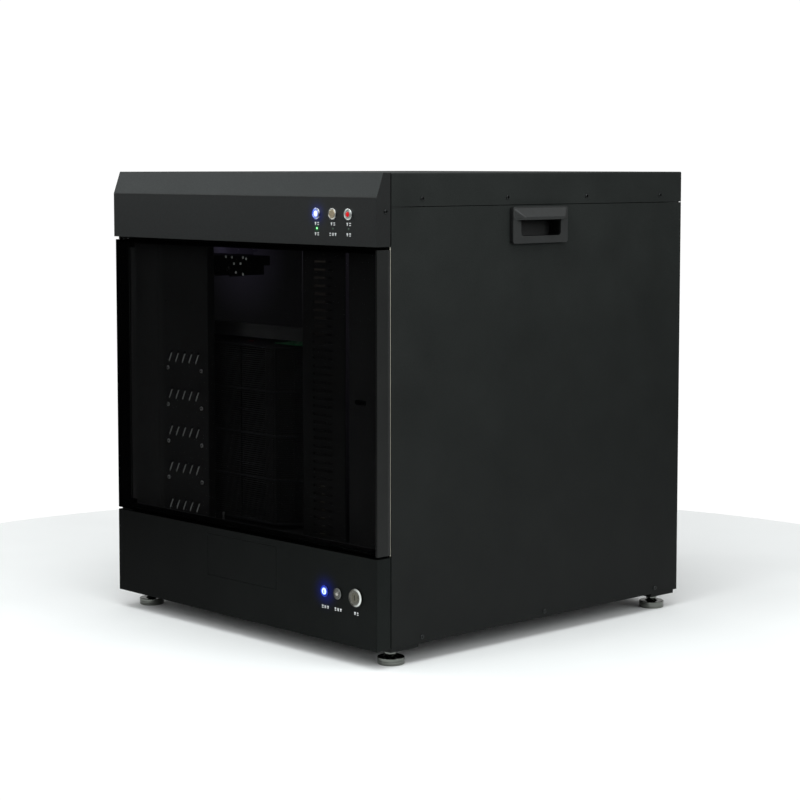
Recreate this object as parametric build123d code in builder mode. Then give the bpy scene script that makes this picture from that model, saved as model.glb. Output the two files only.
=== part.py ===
from build123d import *
import os
from math import atan2, cos, degrees, hypot, pi, radians, sin, tan

# A floor-standing optical disc library: a steel cabinet with a glass door, a turning drum of disc magazines,
# a lift with a disc shuttle, three disc drives and an overhead picker.
# The origin is on the floor under the cabinet's centre; +X is to the right seen from the front, -Y the front.

# Cabinet
width = 692.0
depth = 736.0
body_height = 752.0
foot_height = 31.0
sheet = 2.0
front_depth = 29.0
front_seam = 2.0
panel_setback = 2.0
cover_lip = 53.0
cover_seam = 1.0
cover_round = 2.5
post_width = 30.0
post_wall = 2.5
fold_round = 1.5
fit_gap = 0.3
cut_over = 1.0

# Lower fascia, door and hood, from the bottom up
fascia_height = 146.5
door_gap_below = 4.0
door_gap_above = 5.0
hood_height = 115.0
hood_chamfer_height = 38.4
hood_chamfer_depth = 14.0
fascia_left_inset = 3.5
mount_tab = 30.0
tab_thickness = 3.0

# Foot beams and feet
beam_height = 6.4
beam_width = 61.0
foot_side_inset = 27.0
foot_front_inset = 55.0
foot_rear_inset = 37.5
foot_disc_radius = 22.0
foot_disc_height = 12.0
foot_cone_height = 4.0
foot_cone_spread = 6.0
foot_chamfer = 1.0
stud_radius = 6.0
stud_length = 47.0
stud_play = 1.0
nut_width = 18.0
nut_height = 7.5
running_clearance = 0.08

# Door
door_thickness = 24.3
door_border = 6.0
door_rebate = 3.0
door_corner = 8.0
glass_thickness = 5.0
glass_clearance = 0.4
glass_setback = 0.3
pivot_inset = 12.0
pivot_radius = 4.0
pivot_depth = 12.0
pivot_pad_wall = 2.0
pivot_slack = 1.0
bracket_left = 8.0
bracket_right = 24.0
bracket_front = 6.0
seal_width = 6.0
seal_height = 4.2
seal_inset = 14.0
catch_length = 40.0
catch_width = 5.0
catch_gap = 0.5
strike_from_right = 74.0
strike_drop = 4.75
strike_length = 27.0
strike_width = 8.0

# Controls
button_radius = 6.6
button_length = 12.0
button_stroke = 1.2
button_proud = 0.8
button_dome = 0.6
bezel_radius = 9.25
bezel_body_radius = 8.0
bezel_proud = 2.0
bezel_back = 2.0
bezel_body_length = button_length + button_stroke - bezel_proud - button_proud + fit_gap + bezel_back
hood_button_drop = 65.0
hood_button_insets = (141.0, 102.5, 65.0)
lens_radius = 1.6
lens_drop = 88.5
lens_length = 6.0
lens_proud = 0.6
lens_round = 0.5
fascia_button_drop = 66.5
fascia_button_insets = (123.0, 92.0)
key_inset = 48.5
key_radius = 8.0
key_bezel_radius = 15.0
key_bezel_proud = 3.5
key_bezel_round = 2.0
key_body_radius = 11.0
key_body_length = 20.0
key_slot_width = 1.6
key_slot_height = 9.0
key_slot_depth = 6.0
cam_length = 24.0
cam_width = 10.0
cam_thickness = 2.0
service_cover_left = 429.0
service_cover_right = 246.0
service_cover_drop = 11.1
service_cover_height = 71.8
service_cover_gap = 0.5
service_cover_recess = 1.0

# Inner front panels, as distances from the cabinet's right side
panel_drop = 53.0
vent_left = 607.0
vent_right = 466.0
panel_gap = 0.6
pillar_left = 215.0
pillar_right = 111.0
groove_right = 100.0
groove_depth = 8.0
pillar_return = 12.0
vent_rises = (282.3, 217.1, 152.2, 87.4, 21.7)
vent_first = 574.0
vent_pitch = 19.0
vents_per_row = 5
vent_height = 21.0
vent_lean = 11.0
vent_width = 5.0
vent_screw_drop = 21.0
vent_screw_insets = (580.0, 485.0)
panel_hole_insets = (585.0, 510.0)
panel_hole_rise = 379.5
panel_hole_radius = 2.0
pillar_slot_count = 35
pillar_slot_drop = 90.6
pillar_slot_rise = 16.8
pillar_slot_left = 189.0
pillar_slot_right = 142.0
pillar_slot_height = 4.0
groove_screw_rises = (263.0, 240.5, 225.0, 158.5, 116.5)

# Upper compartment
beam_clearance = 7.0
cross_beam_height = 23.0
cross_beam_depth = 18.0
cross_beam_front = 112.0
partition_front = 122.0
partition_right = 206.0
rail_drop = 133.0
rail_height = 12.0
rail_depth = 10.0
rail_stop_length = 8.0
rail_stop_reach = 5.0
light_left = 566.0
light_right = 386.0
light_rise = 22.0
light_height = 8.0
light_depth = 14.0
light_round = 2.0
board_left = 330.0
board_depth = 60.0
board_thickness = 1.6
header_height = 51.0

# Picker
picker_centre = 482.0
picker_width = 163.0
picker_hang = 11.0
picker_height = 33.0
picker_front = 68.0
picker_depth = 50.0
picker_travel = 381.0
picker_plate_width = 90.0
picker_plate_rise = 5.0
picker_gap = 0.5
finger_width = 22.0
finger_depth = 30.0
finger_height = 8.0
finger_offset = 18.0
finger_travel = 12.0
finger_guide = 4.0
picker_step = 16.0
picker_wall = 5.0
vee_foot = 5.0
vee_top = 20.0
vee_height = 24.0
vee_depth = 12.0

# Drum
drum_from_right = 412.0
drum_from_front = 284.0
columns = 8
tiers = 4
drum_vertex_radius = 241.0
drum_rise = 8.5
plate_thickness = 3.0
rows_per_magazine = 20
row_pitch = 3.6
pocket_height = 2.0
magazine_front_setback = 1.2
magazine_inner_radius = 95.0
magazine_side_gap = 0.5
disc_radius = 60.0
disc_hole_radius = 7.5
disc_thickness = 1.2
disc_clearance = 0.3
disc_front_setback = 0.5
face_groove_depth = 3.5
slit_width = 4.0
slit_depth = 22.0
bead_width = 5.0
bead_gap = 2.0
spindle_radius = 22.0
journal_radius = 15.0
hub_radius = 45.0
hub_height = 4.0
hub_plate_thickness = 3.0
bearing_radius = 34.0
bearing_flange_radius = 46.0
bearing_flange_thickness = 5.0
bearing_depth = 16.0
gear_module = 2.5
gear_teeth = 120
pinion_teeth = 16
gear_thickness = 5.0
gear_bore_radius = 36.0
gear_axis_angle = 45.0
gear_addendum = 0.8
gear_dedendum = 1.2
tooth_tip = 0.105
tooth_foot = 0.3
motor_size = 57.0
motor_length = 56.0
motor_shaft_radius = 4.0
motor_boss_radius = 19.0
small_motor_size = 42.0
pin_from_right = 435.0
pin_from_front = 40.0
pin_radius = 2.0
pin_height = 20.0

# Lift, shuttle and drives
disc_lane_from_right = 101.0
rod_from_right = 15.0
rod_radius = 6.0
rod_spacing = 130.0
rod_spare = 48.0
rod_head_room = 121.0
rod_bracket_thickness = 6.0
rod_bracket_depth = 26.0
lift_rise = 22.5
carriage_beam_thickness = 8.0
carriage_beam_height = 16.0
carriage_beam_spare = 17.0
carriage_block = 22.0
carriage_block_height = 40.0
carriage_block_depth = 26.0
tray_disc_setback = 66.0
shuttle_forward = 165.0
shuttle_block_length = 40.0
shuttle_block_width = 6.0
shuttle_plate_thickness = 3.0
shuttle_plate_radius = 60.0
shuttle_fork_gap = 34.0
shuttle_gap = 0.5
drive_count = 3
drive_width = 146.0
drive_height = 41.3
drive_length = 170.0
drive_front = 520.0
drive_rise = 22.5
drive_pitch = 65.0
drive_rack_wall = 2.0
drive_rack_height = 222.5
tray_width = 128.0
tray_height = 11.0
tray_length = 140.0
tray_travel = 130.0
tray_clearance = 0.4
tray_recess = 2.0
tray_bottom = 15.0
tray_recess_play = 2.0
tray_window_width = 34.0
tray_window_length = 90.0

# Rear and lower compartment
grille_rings = ((14.0, 6), (28.0, 12), (42.0, 18))
grille_hole_radius = 4.0
rear_vent_insets = (170.0, 350.0)
rear_vent_rise = 152.5
rear_vent_pitch = 26.0
rear_vent_row_pitch = 14.0
rear_vent_columns = 5
rear_vent_rows = 16
rear_vent_length = 20.0
rear_vent_width = 5.0
fan_size = 120.0
fan_depth = 25.0
fan_bore_radius = 57.0
fan_from_left = 146.0
fan_drop = 183.0
fan_hub_radius = 19.0
fan_blade_radius = 55.5
fan_blades = 7
fan_blade_chord = 22.0
fan_blade_thickness = 1.8
fan_blade_tilt = 35.0
fan_pin_radius = 2.5
fan_boss_depth = 5.0
fan_arm_width = 5.0
fan_arms = 3
fan_arm_overlap = 2.0
fan_corner = 6.0
fan_screw_spacing = 105.0
fan_screw_hole = 2.2
fan_pin_spare = 4.0
fan_cap = 1.0
fan_front_gap = 2.0
inlet_width = 48.0
inlet_height = 28.0
inlet_from_left = 132.0
inlet_rise = 44.0
ports_width = 60.0
ports_height = 20.0
ports_from_left = 272.0
socket_depth = 22.0
socket_flange = 3.0
socket_proud = 4.1
inlet_hollow_width = 24.0
inlet_hollow_height = 17.0
inlet_hollow_round = 3.0
inlet_hollow_depth = 16.0
inlet_pin_spacing = 6.0
inlet_pin_width = 2.0
inlet_pin_height = 4.0
inlet_pin_setback = 3.0
port_count = 3
port_pitch = 19.0
port_width = 14.0
port_height = 10.0
port_depth = 12.0
supply_from_left = 142.0
supply_width = 215.0
supply_depth = 115.0
supply_height = 50.0
supply_slot_columns = 14
supply_slot_rows = 3
supply_slot_pitch = 10.0
supply_slot_row_pitch = 30.0
supply_slot_length = 22.0
supply_slot_width = 4.0
supply_slot_depth = 2.0
controller_from_right = 180.0
controller_from_front = 560.0
controller_width = 180.0
controller_depth = 120.0
controller_chips = (
    (-40.0, 10.0, 30.0, 30.0, 4.0),
    (20.0, 25.0, 44.0, 12.0, 9.0),
    (30.0, -20.0, 24.0, 24.0, 6.0),
    (-50.0, -40.0, 60.0, 9.0, 11.0),
)
standoff_height = 10.0
standoff_radius = 3.0
standoff_inset = 6.0

# Carry handles
handle_front = 297.0
handle_rear = 429.0
handle_drop = 56.5
handle_height = 60.5
handle_proud = 8.0
brow_proud = 19.0
brow_drop = 78.0
brow_lip = 5.0
brow_edge = 1.0
brow_inset = 18.0
grip_front = 316.0
grip_rear = 412.0
grip_rise_from_frame = 12.0
grip_depth = 22.0
grip_rise = 9.0
grip_wall = 2.5
handle_round = 5.0
brow_round = 4.0
brow_lip_round = 1.5
grip_round = 6.0
brow_wall = 7.0

# Screws
screw_radius = 3.6
screw_head = 1.8
screw_dome = 0.6
small_screw_radius = 1.8
cover_screw_drop = 40.5
cover_screw_rows = (97.5, 291.0, 484.5, 678.0)
lower_screw_rise = 10.0
lower_screw_rows = (98.0, 386.0, 675.0)
hood_screw_row = 18.6
hood_screw_drop = 60.0
rear_screw_count = 4
rear_screw_rise = 29.0
rear_screw_drop = 68.0
rear_screw_inset = 14.0

# Worked out from the sizes above
half_width = width / 2
front = -depth / 2
rear = depth / 2
base = foot_height
top = foot_height + body_height
body_front = front + front_depth + front_seam
panel_front = body_front + panel_setback
panel_back = panel_front + sheet
inner = half_width - sheet
fascia_top = base + fascia_height
door_bottom = fascia_top + door_gap_below
hood_bottom = top - hood_height
door_top = hood_bottom - door_gap_above
door_left = -half_width + fascia_left_inset
pivot_x = door_left + pivot_inset
pivot_y = front + door_thickness / 2
lip_bottom = top - cover_lip
cover_inside = top - sheet
deck_top = fascia_top
deck_bottom = deck_top - sheet
front_back = front + front_depth
hood_button_height = top - hood_button_drop
lens_height = top - lens_drop
fascia_button_height = fascia_top - fascia_button_drop
service_cover_top = fascia_top - service_cover_drop
service_cover_bottom = service_cover_top - service_cover_height
catch_height = (door_bottom + door_top) / 2
strike_height = catch_height - strike_drop
panel_top = top - panel_drop
drum_base = deck_top + drum_rise
tier_pitch = rows_per_magazine * row_pitch + plate_thickness
drum_top = drum_base + plate_thickness + tiers * tier_pitch
beam_bottom = drum_top + beam_clearance
rail_bottom = top - rail_drop
rail_top = rail_bottom + rail_height
light_bottom = rail_bottom + light_rise
picker_bottom = rail_bottom - picker_hang - picker_height
picker_plate_top = rail_top + picker_plate_rise
rod_top = cover_inside - rod_head_room
lift_rest = deck_top + lift_rise
drive_bottom = deck_top + drive_rise
drive_rack_top = deck_top + drive_rack_height
fan_height = top - fan_drop
inlet_level = base + inlet_rise
handle_top = top - handle_drop
handle_bottom = handle_top - handle_height
brow_bottom = top - brow_drop
grip_bottom = handle_bottom + grip_rise_from_frame
cover_screw_height = top - cover_screw_drop
lower_screw_height = base + lower_screw_rise
hood_screw_height = top - hood_screw_drop


def from_right(inset):
    """X of a place that lies this far from the cabinet's right side."""
    return half_width - inset


def from_front(setback):
    """Y of a place that lies this far behind the front of the door."""
    return front + setback


def block(x0, x1, y0, y1, z0, z1, mode=Mode.ADD):
    """A box between two corners, added to the sub-part being made."""
    with Locations(((x0 + x1) / 2, (y0 + y1) / 2, (z0 + z1) / 2)):
        Box(x1 - x0, y1 - y0, z1 - z0, mode=mode)


def rod(plane, radius, length, mode=Mode.ADD):
    """A cylinder that starts on a plane and runs along its normal."""
    with Locations(plane):
        Cylinder(radius, length, align=(Align.CENTER, Align.CENTER, Align.MIN), mode=mode)


def facing_front(x, y, z):
    """A plane that faces the front, with its x to the right and its y upwards."""
    return Plane(origin=(x, y, z), x_dir=(1, 0, 0), z_dir=(0, -1, 0))


def upright(x, y, z):
    """A level plane that faces up."""
    return Plane(origin=(x, y, z))


def save(builder, name):
    """Writes one finished sub-part."""
    builder.part.label = name
    export_step(builder.part, f"parts/{name}.step")


os.makedirs("parts", exist_ok=True)

foot_places = [
    (side * (half_width - foot_side_inset), y)
    for y in (front + foot_front_inset, rear - foot_rear_inset)
    for side in (-1, 1)
]
foot_names = ("foot_front_left", "foot_front_right", "foot_rear_left", "foot_rear_right")

# Base plate: the cabinet's flat floor, pierced for the feet's studs
with BuildPart() as base_plate:
    block(-inner, inner, panel_front, rear - sheet, base, base + sheet)
    for x, y in foot_places:
        rod(upright(x, y, base), stud_radius + stud_play, sheet, Mode.SUBTRACT)
save(base_plate, "base_plate")

# Foot beams: two flat channels under the base, drilled for the feet
beam_starts = (body_front, rear - foot_rear_inset - beam_width / 2)
with BuildPart() as foot_beams:
    for y in beam_starts:
        block(-inner, inner, y, y + beam_width, base - beam_height, base)
    for x, y in foot_places:
        rod(upright(x, y, base - beam_height), stud_radius + running_clearance, beam_height, Mode.SUBTRACT)
save(foot_beams, "foot_beams")

# Levelling feet: disc, cone, nut and stud, turned as one piece
nut_bottom = base - beam_height - nut_height - fit_gap
for name, (x, y) in zip(foot_names, foot_places):
    with BuildPart() as foot:
        rod(upright(x, y, 0), foot_disc_radius, foot_disc_height)
        chamfer(foot.edges().filter_by(GeomType.CIRCLE), foot_chamfer)
        with Locations((x, y, foot_disc_height)):
            Cone(
                stud_radius + foot_cone_spread, stud_radius, foot_cone_height,
                align=(Align.CENTER, Align.CENTER, Align.MIN),
            )
        rod(upright(x, y, foot_disc_height), stud_radius, stud_length - foot_disc_height)
        with BuildSketch(upright(x, y, nut_bottom)):
            RegularPolygon(nut_width / 2, 6, major_radius=False)
        extrude(amount=nut_height)
    save(foot, name)

# Cabinet frame: four corner posts, two top rails, the header over the door and the cross beam
cross_beam_y = from_front(cross_beam_front)
with BuildPart() as cabinet_frame:
    post_fronts = (panel_back, rear - 2 * sheet - post_width)
    for side in (-1, 1):
        for y in post_fronts:
            flange_y = y if y < 0 else y + post_width - post_wall
            x0, x1 = sorted((side * inner, side * (inner - post_width)))
            w0, w1 = sorted((side * inner, side * (inner - post_wall)))
            block(x0, x1, flange_y, flange_y + post_wall, base + sheet, cover_inside)
            block(w0, w1, y, y + post_width, base + sheet, cover_inside)
        r0, r1 = sorted((side * inner, side * (inner - post_width)))
        u0, u1 = sorted((side * inner, side * (inner - post_wall)))
        rail_start = panel_back + post_width + fit_gap
        rail_end = rear - 2 * sheet - post_width - fit_gap
        block(r0, r1, rail_start, rail_end, cover_inside - post_wall, cover_inside)
        block(u0, u1, rail_start, rail_end, cover_inside - post_width, cover_inside)
    header_half = inner - post_width
    block(-header_half, header_half, panel_front, panel_back, cover_inside - header_height, cover_inside)
    beam_top = beam_bottom + cross_beam_height
    beam_end = from_right(partition_right)
    block(-inner, beam_end, cross_beam_y, cross_beam_y + cross_beam_depth, beam_bottom, beam_top)
    arm_start = from_right(pillar_left) + sheet
    block(arm_start, beam_end, panel_back + sheet, cross_beam_y + cross_beam_depth, beam_bottom, beam_top)
save(cabinet_frame, "cabinet_frame")

# Side panels, with the opening for the handle
panel_ends = (body_front, rear - sheet)
side_hole_low = grip_bottom - grip_wall - fit_gap
side_hole_high = brow_bottom + grip_rise + grip_wall + fit_gap
for name, side in (("side_panel_left", -1), ("side_panel_right", 1)):
    x0, x1 = sorted((side * inner, side * half_width))
    with BuildPart() as side_panel:
        block(x0, x1, panel_ends[0], panel_ends[1], base, lip_bottom - cover_seam)
        hole_front = from_front(grip_front) - grip_wall - fit_gap
        hole_rear = from_front(grip_rear) + grip_wall + fit_gap
        block(x0, x1, hole_front, hole_rear, side_hole_low, side_hole_high, Mode.SUBTRACT)
    save(side_panel, name)

# Top cover: a flat lid with lips down both sides and the rear
with BuildPart() as top_cover:
    block(-half_width, half_width, body_front, rear, lip_bottom, top)
    upper_edges = top_cover.edges().group_by(Axis.Z)[-1].filter_by(Axis.Y)
    fillet(upper_edges, cover_round)
    block(-inner, inner, body_front, rear - sheet, lip_bottom, cover_inside, Mode.SUBTRACT)
save(top_cover, "top_cover")

# Rear panel: fan grille, two vent fields and the socket openings
inlet_x, ports_x = inlet_from_left - half_width, ports_from_left - half_width
fan_x = fan_from_left - half_width
with BuildPart() as rear_panel:
    block(-half_width, half_width, rear - sheet, rear, base, lip_bottom - cover_seam)
    with BuildSketch(facing_front(fan_x, rear, fan_height)):
        for ring, holes in grille_rings:
            with PolarLocations(ring, holes):
                Circle(grille_hole_radius)
    extrude(amount=sheet, mode=Mode.SUBTRACT)
    for inset in rear_vent_insets:
        with BuildSketch(facing_front(from_right(inset), rear, deck_top + rear_vent_rise)):
            with GridLocations(rear_vent_pitch, rear_vent_row_pitch, rear_vent_columns, rear_vent_rows):
                SlotOverall(rear_vent_length, rear_vent_width)
        extrude(amount=sheet, mode=Mode.SUBTRACT)
    with BuildSketch(facing_front(inlet_x, rear, inlet_level)):
        Rectangle(inlet_width + 2 * fit_gap, inlet_height + 2 * fit_gap)
    extrude(amount=sheet, mode=Mode.SUBTRACT)
    with BuildSketch(facing_front(ports_x, rear, inlet_level)):
        Rectangle(ports_width + 2 * fit_gap, ports_height + 2 * fit_gap)
    extrude(amount=sheet, mode=Mode.SUBTRACT)
save(rear_panel, "rear_panel")

# Rear sockets: the mains inlet and the data port block, each with a flange over the panel
with BuildPart() as rear_sockets:
    for x, w, h in ((inlet_x, inlet_width, inlet_height), (ports_x, ports_width, ports_height)):
        block(x - w / 2, x + w / 2, rear - socket_depth, rear, inlet_level - h / 2, inlet_level + h / 2)
        w0, h0 = w / 2 + socket_flange, h / 2 + socket_flange
        block(x - w0, x + w0, rear, rear + socket_proud, inlet_level - h0, inlet_level + h0)
    with BuildSketch(facing_front(inlet_x, rear + socket_proud, inlet_level)):
        RectangleRounded(inlet_hollow_width, inlet_hollow_height, inlet_hollow_round)
    extrude(amount=inlet_hollow_depth, mode=Mode.SUBTRACT)
    with BuildSketch(facing_front(ports_x, rear + socket_proud, inlet_level)):
        with GridLocations(port_pitch, port_pitch, port_count, 1):
            Rectangle(port_width, port_height)
    extrude(amount=port_depth, mode=Mode.SUBTRACT)
    half_pin_width, half_pin_height = inlet_pin_width / 2, inlet_pin_height / 2
    for x in (inlet_x - inlet_pin_spacing, inlet_x, inlet_x + inlet_pin_spacing):
        block(
            x - half_pin_width, x + half_pin_width, rear + socket_proud - inlet_hollow_depth,
            rear - inlet_pin_setback, inlet_level - half_pin_height, inlet_level + half_pin_height,
        )
save(rear_sockets, "rear_sockets")

# Hood: a folded shell, open at the back, drilled for buttons and lenses
hood_buttons = [(from_right(inset), hood_button_height) for inset in hood_button_insets]
hood_lenses = [(x, lens_height) for x, _ in hood_buttons]


def hood_profile(inset):
    """The hood's side outline, drawn smaller by inset but open at the back."""
    chamfer_bottom = top - hood_chamfer_height
    back = front_back + (cut_over if inset else 0)
    points = (
        (front + inset, hood_bottom + inset),
        (front + inset, chamfer_bottom - inset / 2),
        (front + hood_chamfer_depth + inset / 2, top - inset),
        (back, top - inset),
        (back, hood_bottom + inset),
    )
    return points


with BuildPart() as hood_shell:
    with BuildSketch(Plane.YZ.offset(-half_width)):
        with BuildLine():
            Polyline(*hood_profile(0), close=True)
        make_face()
    extrude(amount=width)
    with BuildSketch(Plane.YZ.offset(-inner)):
        with BuildLine():
            Polyline(*hood_profile(sheet), close=True)
        make_face()
    extrude(amount=2 * inner, mode=Mode.SUBTRACT)
    for x in (-header_half + mount_tab, 0, header_half - mount_tab):
        x0, x1 = x - mount_tab / 2, x + mount_tab / 2
        block(x0, x1, front_back - sheet, panel_front, top - sheet - tab_thickness, top - sheet)
        block(x0, x1, body_front, panel_front, top - mount_tab, top - sheet)
    for x, z in hood_buttons:
        rod(facing_front(x, front + sheet, z), bezel_body_radius + running_clearance, sheet, Mode.SUBTRACT)
    for x, z in hood_lenses:
        rod(facing_front(x, front + sheet, z), lens_radius + running_clearance, sheet, Mode.SUBTRACT)
save(hood_shell, "hood_shell")

# Indicator lenses: small round light pipes, domed at the front
with BuildPart() as indicator_lenses:
    for x, z in hood_lenses:
        rod(facing_front(x, front + lens_length, z), lens_radius, lens_length + lens_proud)
    front_edges = indicator_lenses.edges().group_by(Axis.Y)[0]
    fillet(front_edges, lens_round)
save(indicator_lenses, "indicator_lenses")

# Lower fascia: a folded shell with the recess for the service cover
fascia_buttons = [(from_right(inset), fascia_button_height) for inset in fascia_button_insets]
key_place = (from_right(key_inset), fascia_button_height)
cover_x0, cover_x1 = from_right(service_cover_left), from_right(service_cover_right)
with BuildPart() as lower_fascia:
    block(door_left, half_width, front, front_back, base, fascia_top)
    fillet(lower_fascia.edges().filter_by(Axis.Z).group_by(Axis.Y)[0], fold_round)
    block(
        door_left + sheet, inner, front + sheet, front_back, base + sheet, fascia_top - sheet, Mode.SUBTRACT,
    )
    block(
        cover_x0, cover_x1, front, front + service_cover_recess,
        service_cover_bottom, service_cover_top, Mode.SUBTRACT,
    )
    for x in (door_left + 2 * mount_tab, 0, half_width - 2 * mount_tab):
        x0, x1 = x - mount_tab / 2, x + mount_tab / 2
        block(x0, x1, front_back - sheet, panel_front, base, base + sheet)
        block(x0, x1, front_back - sheet, panel_front, fascia_top - sheet, fascia_top)
    for x, z in fascia_buttons:
        rod(facing_front(x, front + sheet, z), bezel_body_radius + running_clearance, sheet, Mode.SUBTRACT)
    x, z = key_place
    rod(facing_front(x, front + sheet, z), key_body_radius + running_clearance, sheet, Mode.SUBTRACT)
save(lower_fascia, "lower_fascia")

with BuildPart() as service_cover:
    gap = service_cover_gap
    block(
        cover_x0 + gap, cover_x1 - gap, front, front + service_cover_recess,
        service_cover_bottom + gap, service_cover_top - gap,
    )
save(service_cover, "service_cover")

# Button bezels: flanged steel rings with closed backs, and the key lock's domed ring
bore = button_radius + running_clearance
with BuildPart() as button_bezels:
    for x, z in hood_buttons + fascia_buttons:
        rod(facing_front(x, front, z), bezel_radius, bezel_proud)
        rod(facing_front(x, front + bezel_body_length, z), bezel_body_radius, bezel_body_length)
        rod(
            facing_front(x, front + bezel_body_length - bezel_back, z), bore,
            bezel_body_length - bezel_back + bezel_proud, Mode.SUBTRACT,
        )
    x, z = key_place
    rod(facing_front(x, front, z), key_bezel_radius, key_bezel_proud)
    rod(facing_front(x, front + key_body_length, z), key_body_radius, key_body_length)
    outer_rims = button_bezels.edges().filter_by(GeomType.CIRCLE).group_by(Axis.Y)
    fillet(outer_rims[0], key_bezel_round)
    rod(
        facing_front(x, front + key_body_length, z), key_radius + running_clearance,
        key_body_length + key_bezel_proud, Mode.SUBTRACT,
    )
save(button_bezels, "button_bezels")


def make_button(name, x, z):
    """A round push button with a slightly rounded face."""
    with BuildPart() as button:
        face_y = front - bezel_proud - button_proud
        rod(facing_front(x, face_y + button_length, z), button_radius, button_length)
        fillet(button.edges().group_by(Axis.Y)[0], button_dome)
    save(button, name)


for number, (x, z) in enumerate(hood_buttons, 1):
    make_button(f"hood_button_{number}", x, z)
for number, (x, z) in enumerate(fascia_buttons, 1):
    make_button(f"fascia_button_{number}", x, z)

# Key barrel: a slotted plug with a cam behind the fascia
with BuildPart() as key_barrel:
    x, z = key_place
    barrel_face = front - key_bezel_proud - button_dome
    barrel_back = front + key_body_length + cam_thickness
    rod(facing_front(x, barrel_back, z), key_radius, barrel_back - barrel_face)
    fillet(key_barrel.edges().group_by(Axis.Y)[0], button_dome)
    block(
        x - key_slot_width / 2, x + key_slot_width / 2, barrel_face, barrel_face + key_slot_depth,
        z - key_slot_height / 2, z + key_slot_height / 2, Mode.SUBTRACT,
    )
    cam_front = front + key_body_length + fit_gap
    block(x - cam_width / 2, x + cam_width / 2, cam_front, cam_front + cam_thickness, z, z + cam_length)
save(key_barrel, "key_barrel")

# Door frame: a deep ring with the rebate for the glass and the pivot holes
glass_back = front + glass_setback + glass_thickness
with BuildPart() as door_frame:
    block(door_left, half_width, front, front + door_thickness, door_bottom, door_top)
    fillet(door_frame.edges().filter_by(Axis.Z).group_by(Axis.Y)[0], fold_round)
    door_mid_x, door_mid_z = (door_left + half_width) / 2, (door_bottom + door_top) / 2
    door_width, door_height = half_width - door_left, door_top - door_bottom
    with BuildSketch(facing_front(door_mid_x, front + door_thickness, door_mid_z)):
        RectangleRounded(door_width - 2 * door_border, door_height - 2 * door_border, door_corner)
    extrude(amount=door_thickness, mode=Mode.SUBTRACT)
    with BuildSketch(facing_front(door_mid_x, glass_back, door_mid_z)):
        RectangleRounded(door_width - 2 * door_rebate, door_height - 2 * door_rebate, door_corner)
    extrude(amount=glass_back - front, mode=Mode.SUBTRACT)
    pad = 2 * (pivot_inset - door_border)
    pad_height = pivot_depth + pivot_pad_wall
    pivot_bore = pivot_radius + running_clearance
    for z0 in (door_bottom, door_top - pad_height):
        pad_front = glass_back + pivot_slack
        block(door_left + door_border, pivot_x + pad, pad_front, front + door_thickness, z0, z0 + pad_height)
    for z0 in (door_bottom, door_top - pivot_depth):
        rod(upright(pivot_x, pivot_y, z0), pivot_bore, pivot_depth, Mode.SUBTRACT)
save(door_frame, "door_frame")

# Door catch: a magnet bar on the inner side of the frame's right member, just short of the trim panel
catch_x1 = half_width - door_border
with BuildPart() as door_catch:
    block(
        catch_x1 - catch_width, catch_x1, glass_back + catch_gap, panel_front - catch_gap,
        catch_height - catch_length / 2, catch_height + catch_length / 2,
    )
save(door_catch, "door_catch")

with BuildPart() as door_glass:
    trim = 2 * (door_rebate + glass_clearance)
    with BuildSketch(facing_front(door_mid_x, glass_back, door_mid_z)):
        RectangleRounded(door_width - trim, door_height - trim, door_corner - glass_clearance)
    extrude(amount=glass_thickness)
save(door_glass, "door_glass")

# Door seal: a soft strip round the back of the door frame, kept off the pivot edge
with BuildPart() as door_seal:
    seal_x0, seal_x1 = door_left + seal_inset, half_width
    seal_z0, seal_z1 = door_bottom, door_top
    seal_y0 = front + door_thickness
    seal_y1 = seal_y0 + seal_height
    block(seal_x0, seal_x1, seal_y0, seal_y1, seal_z0, seal_z0 + seal_width)
    block(seal_x0, seal_x1, seal_y0, seal_y1, seal_z1 - seal_width, seal_z1)
    block(seal_x1 - seal_width, seal_x1, seal_y0, seal_y1, seal_z0, seal_z1)
save(door_seal, "door_seal")

# Pivot brackets: a plate at the hood and one at the fascia, each with its pin
with BuildPart() as pivot_brackets:
    bracket_x0, bracket_x1 = pivot_x - bracket_left, pivot_x + bracket_right
    pin_reach = pivot_depth - pivot_slack
    for plate_z, pin_z, pin_length in (
        (fascia_top, fascia_top, door_gap_below + pin_reach),
        (hood_bottom - sheet, door_top - pin_reach, door_gap_above + pin_reach),
    ):
        block(bracket_x0, bracket_x1, pivot_y - bracket_front, panel_front, plate_z, plate_z + sheet)
        rod(upright(pivot_x, pivot_y, pin_z), pivot_radius, pin_length)
save(pivot_brackets, "pivot_brackets")

# Inner deck, drilled for the drum's bearing and the motor shaft
drum_x, drum_y = from_right(drum_from_right), from_front(drum_from_front)
gear_radius = gear_module * gear_teeth / 2
pinion_radius = gear_module * pinion_teeth / 2
motor_distance = gear_radius + pinion_radius
motor_x = drum_x + motor_distance * cos(radians(gear_axis_angle))
motor_y = drum_y + motor_distance * sin(radians(gear_axis_angle))
with BuildPart() as inner_deck:
    block(-inner, inner, panel_back + post_width, rear - 2 * sheet - post_width, deck_bottom, deck_top)
    block(post_width - inner, inner - post_width, panel_front, rear - sheet, deck_bottom, deck_top)
    rod(upright(drum_x, drum_y, deck_bottom), bearing_radius + fit_gap, sheet, Mode.SUBTRACT)
    rod(upright(motor_x, motor_y, deck_bottom), motor_boss_radius + fit_gap, sheet, Mode.SUBTRACT)
save(inner_deck, "inner_deck")

# Left trim panel and vent panel
with BuildPart() as left_trim_panel:
    block(-inner, from_right(vent_left) - panel_gap, panel_front, panel_back, deck_top, panel_top)
save(left_trim_panel, "left_trim_panel")

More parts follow.
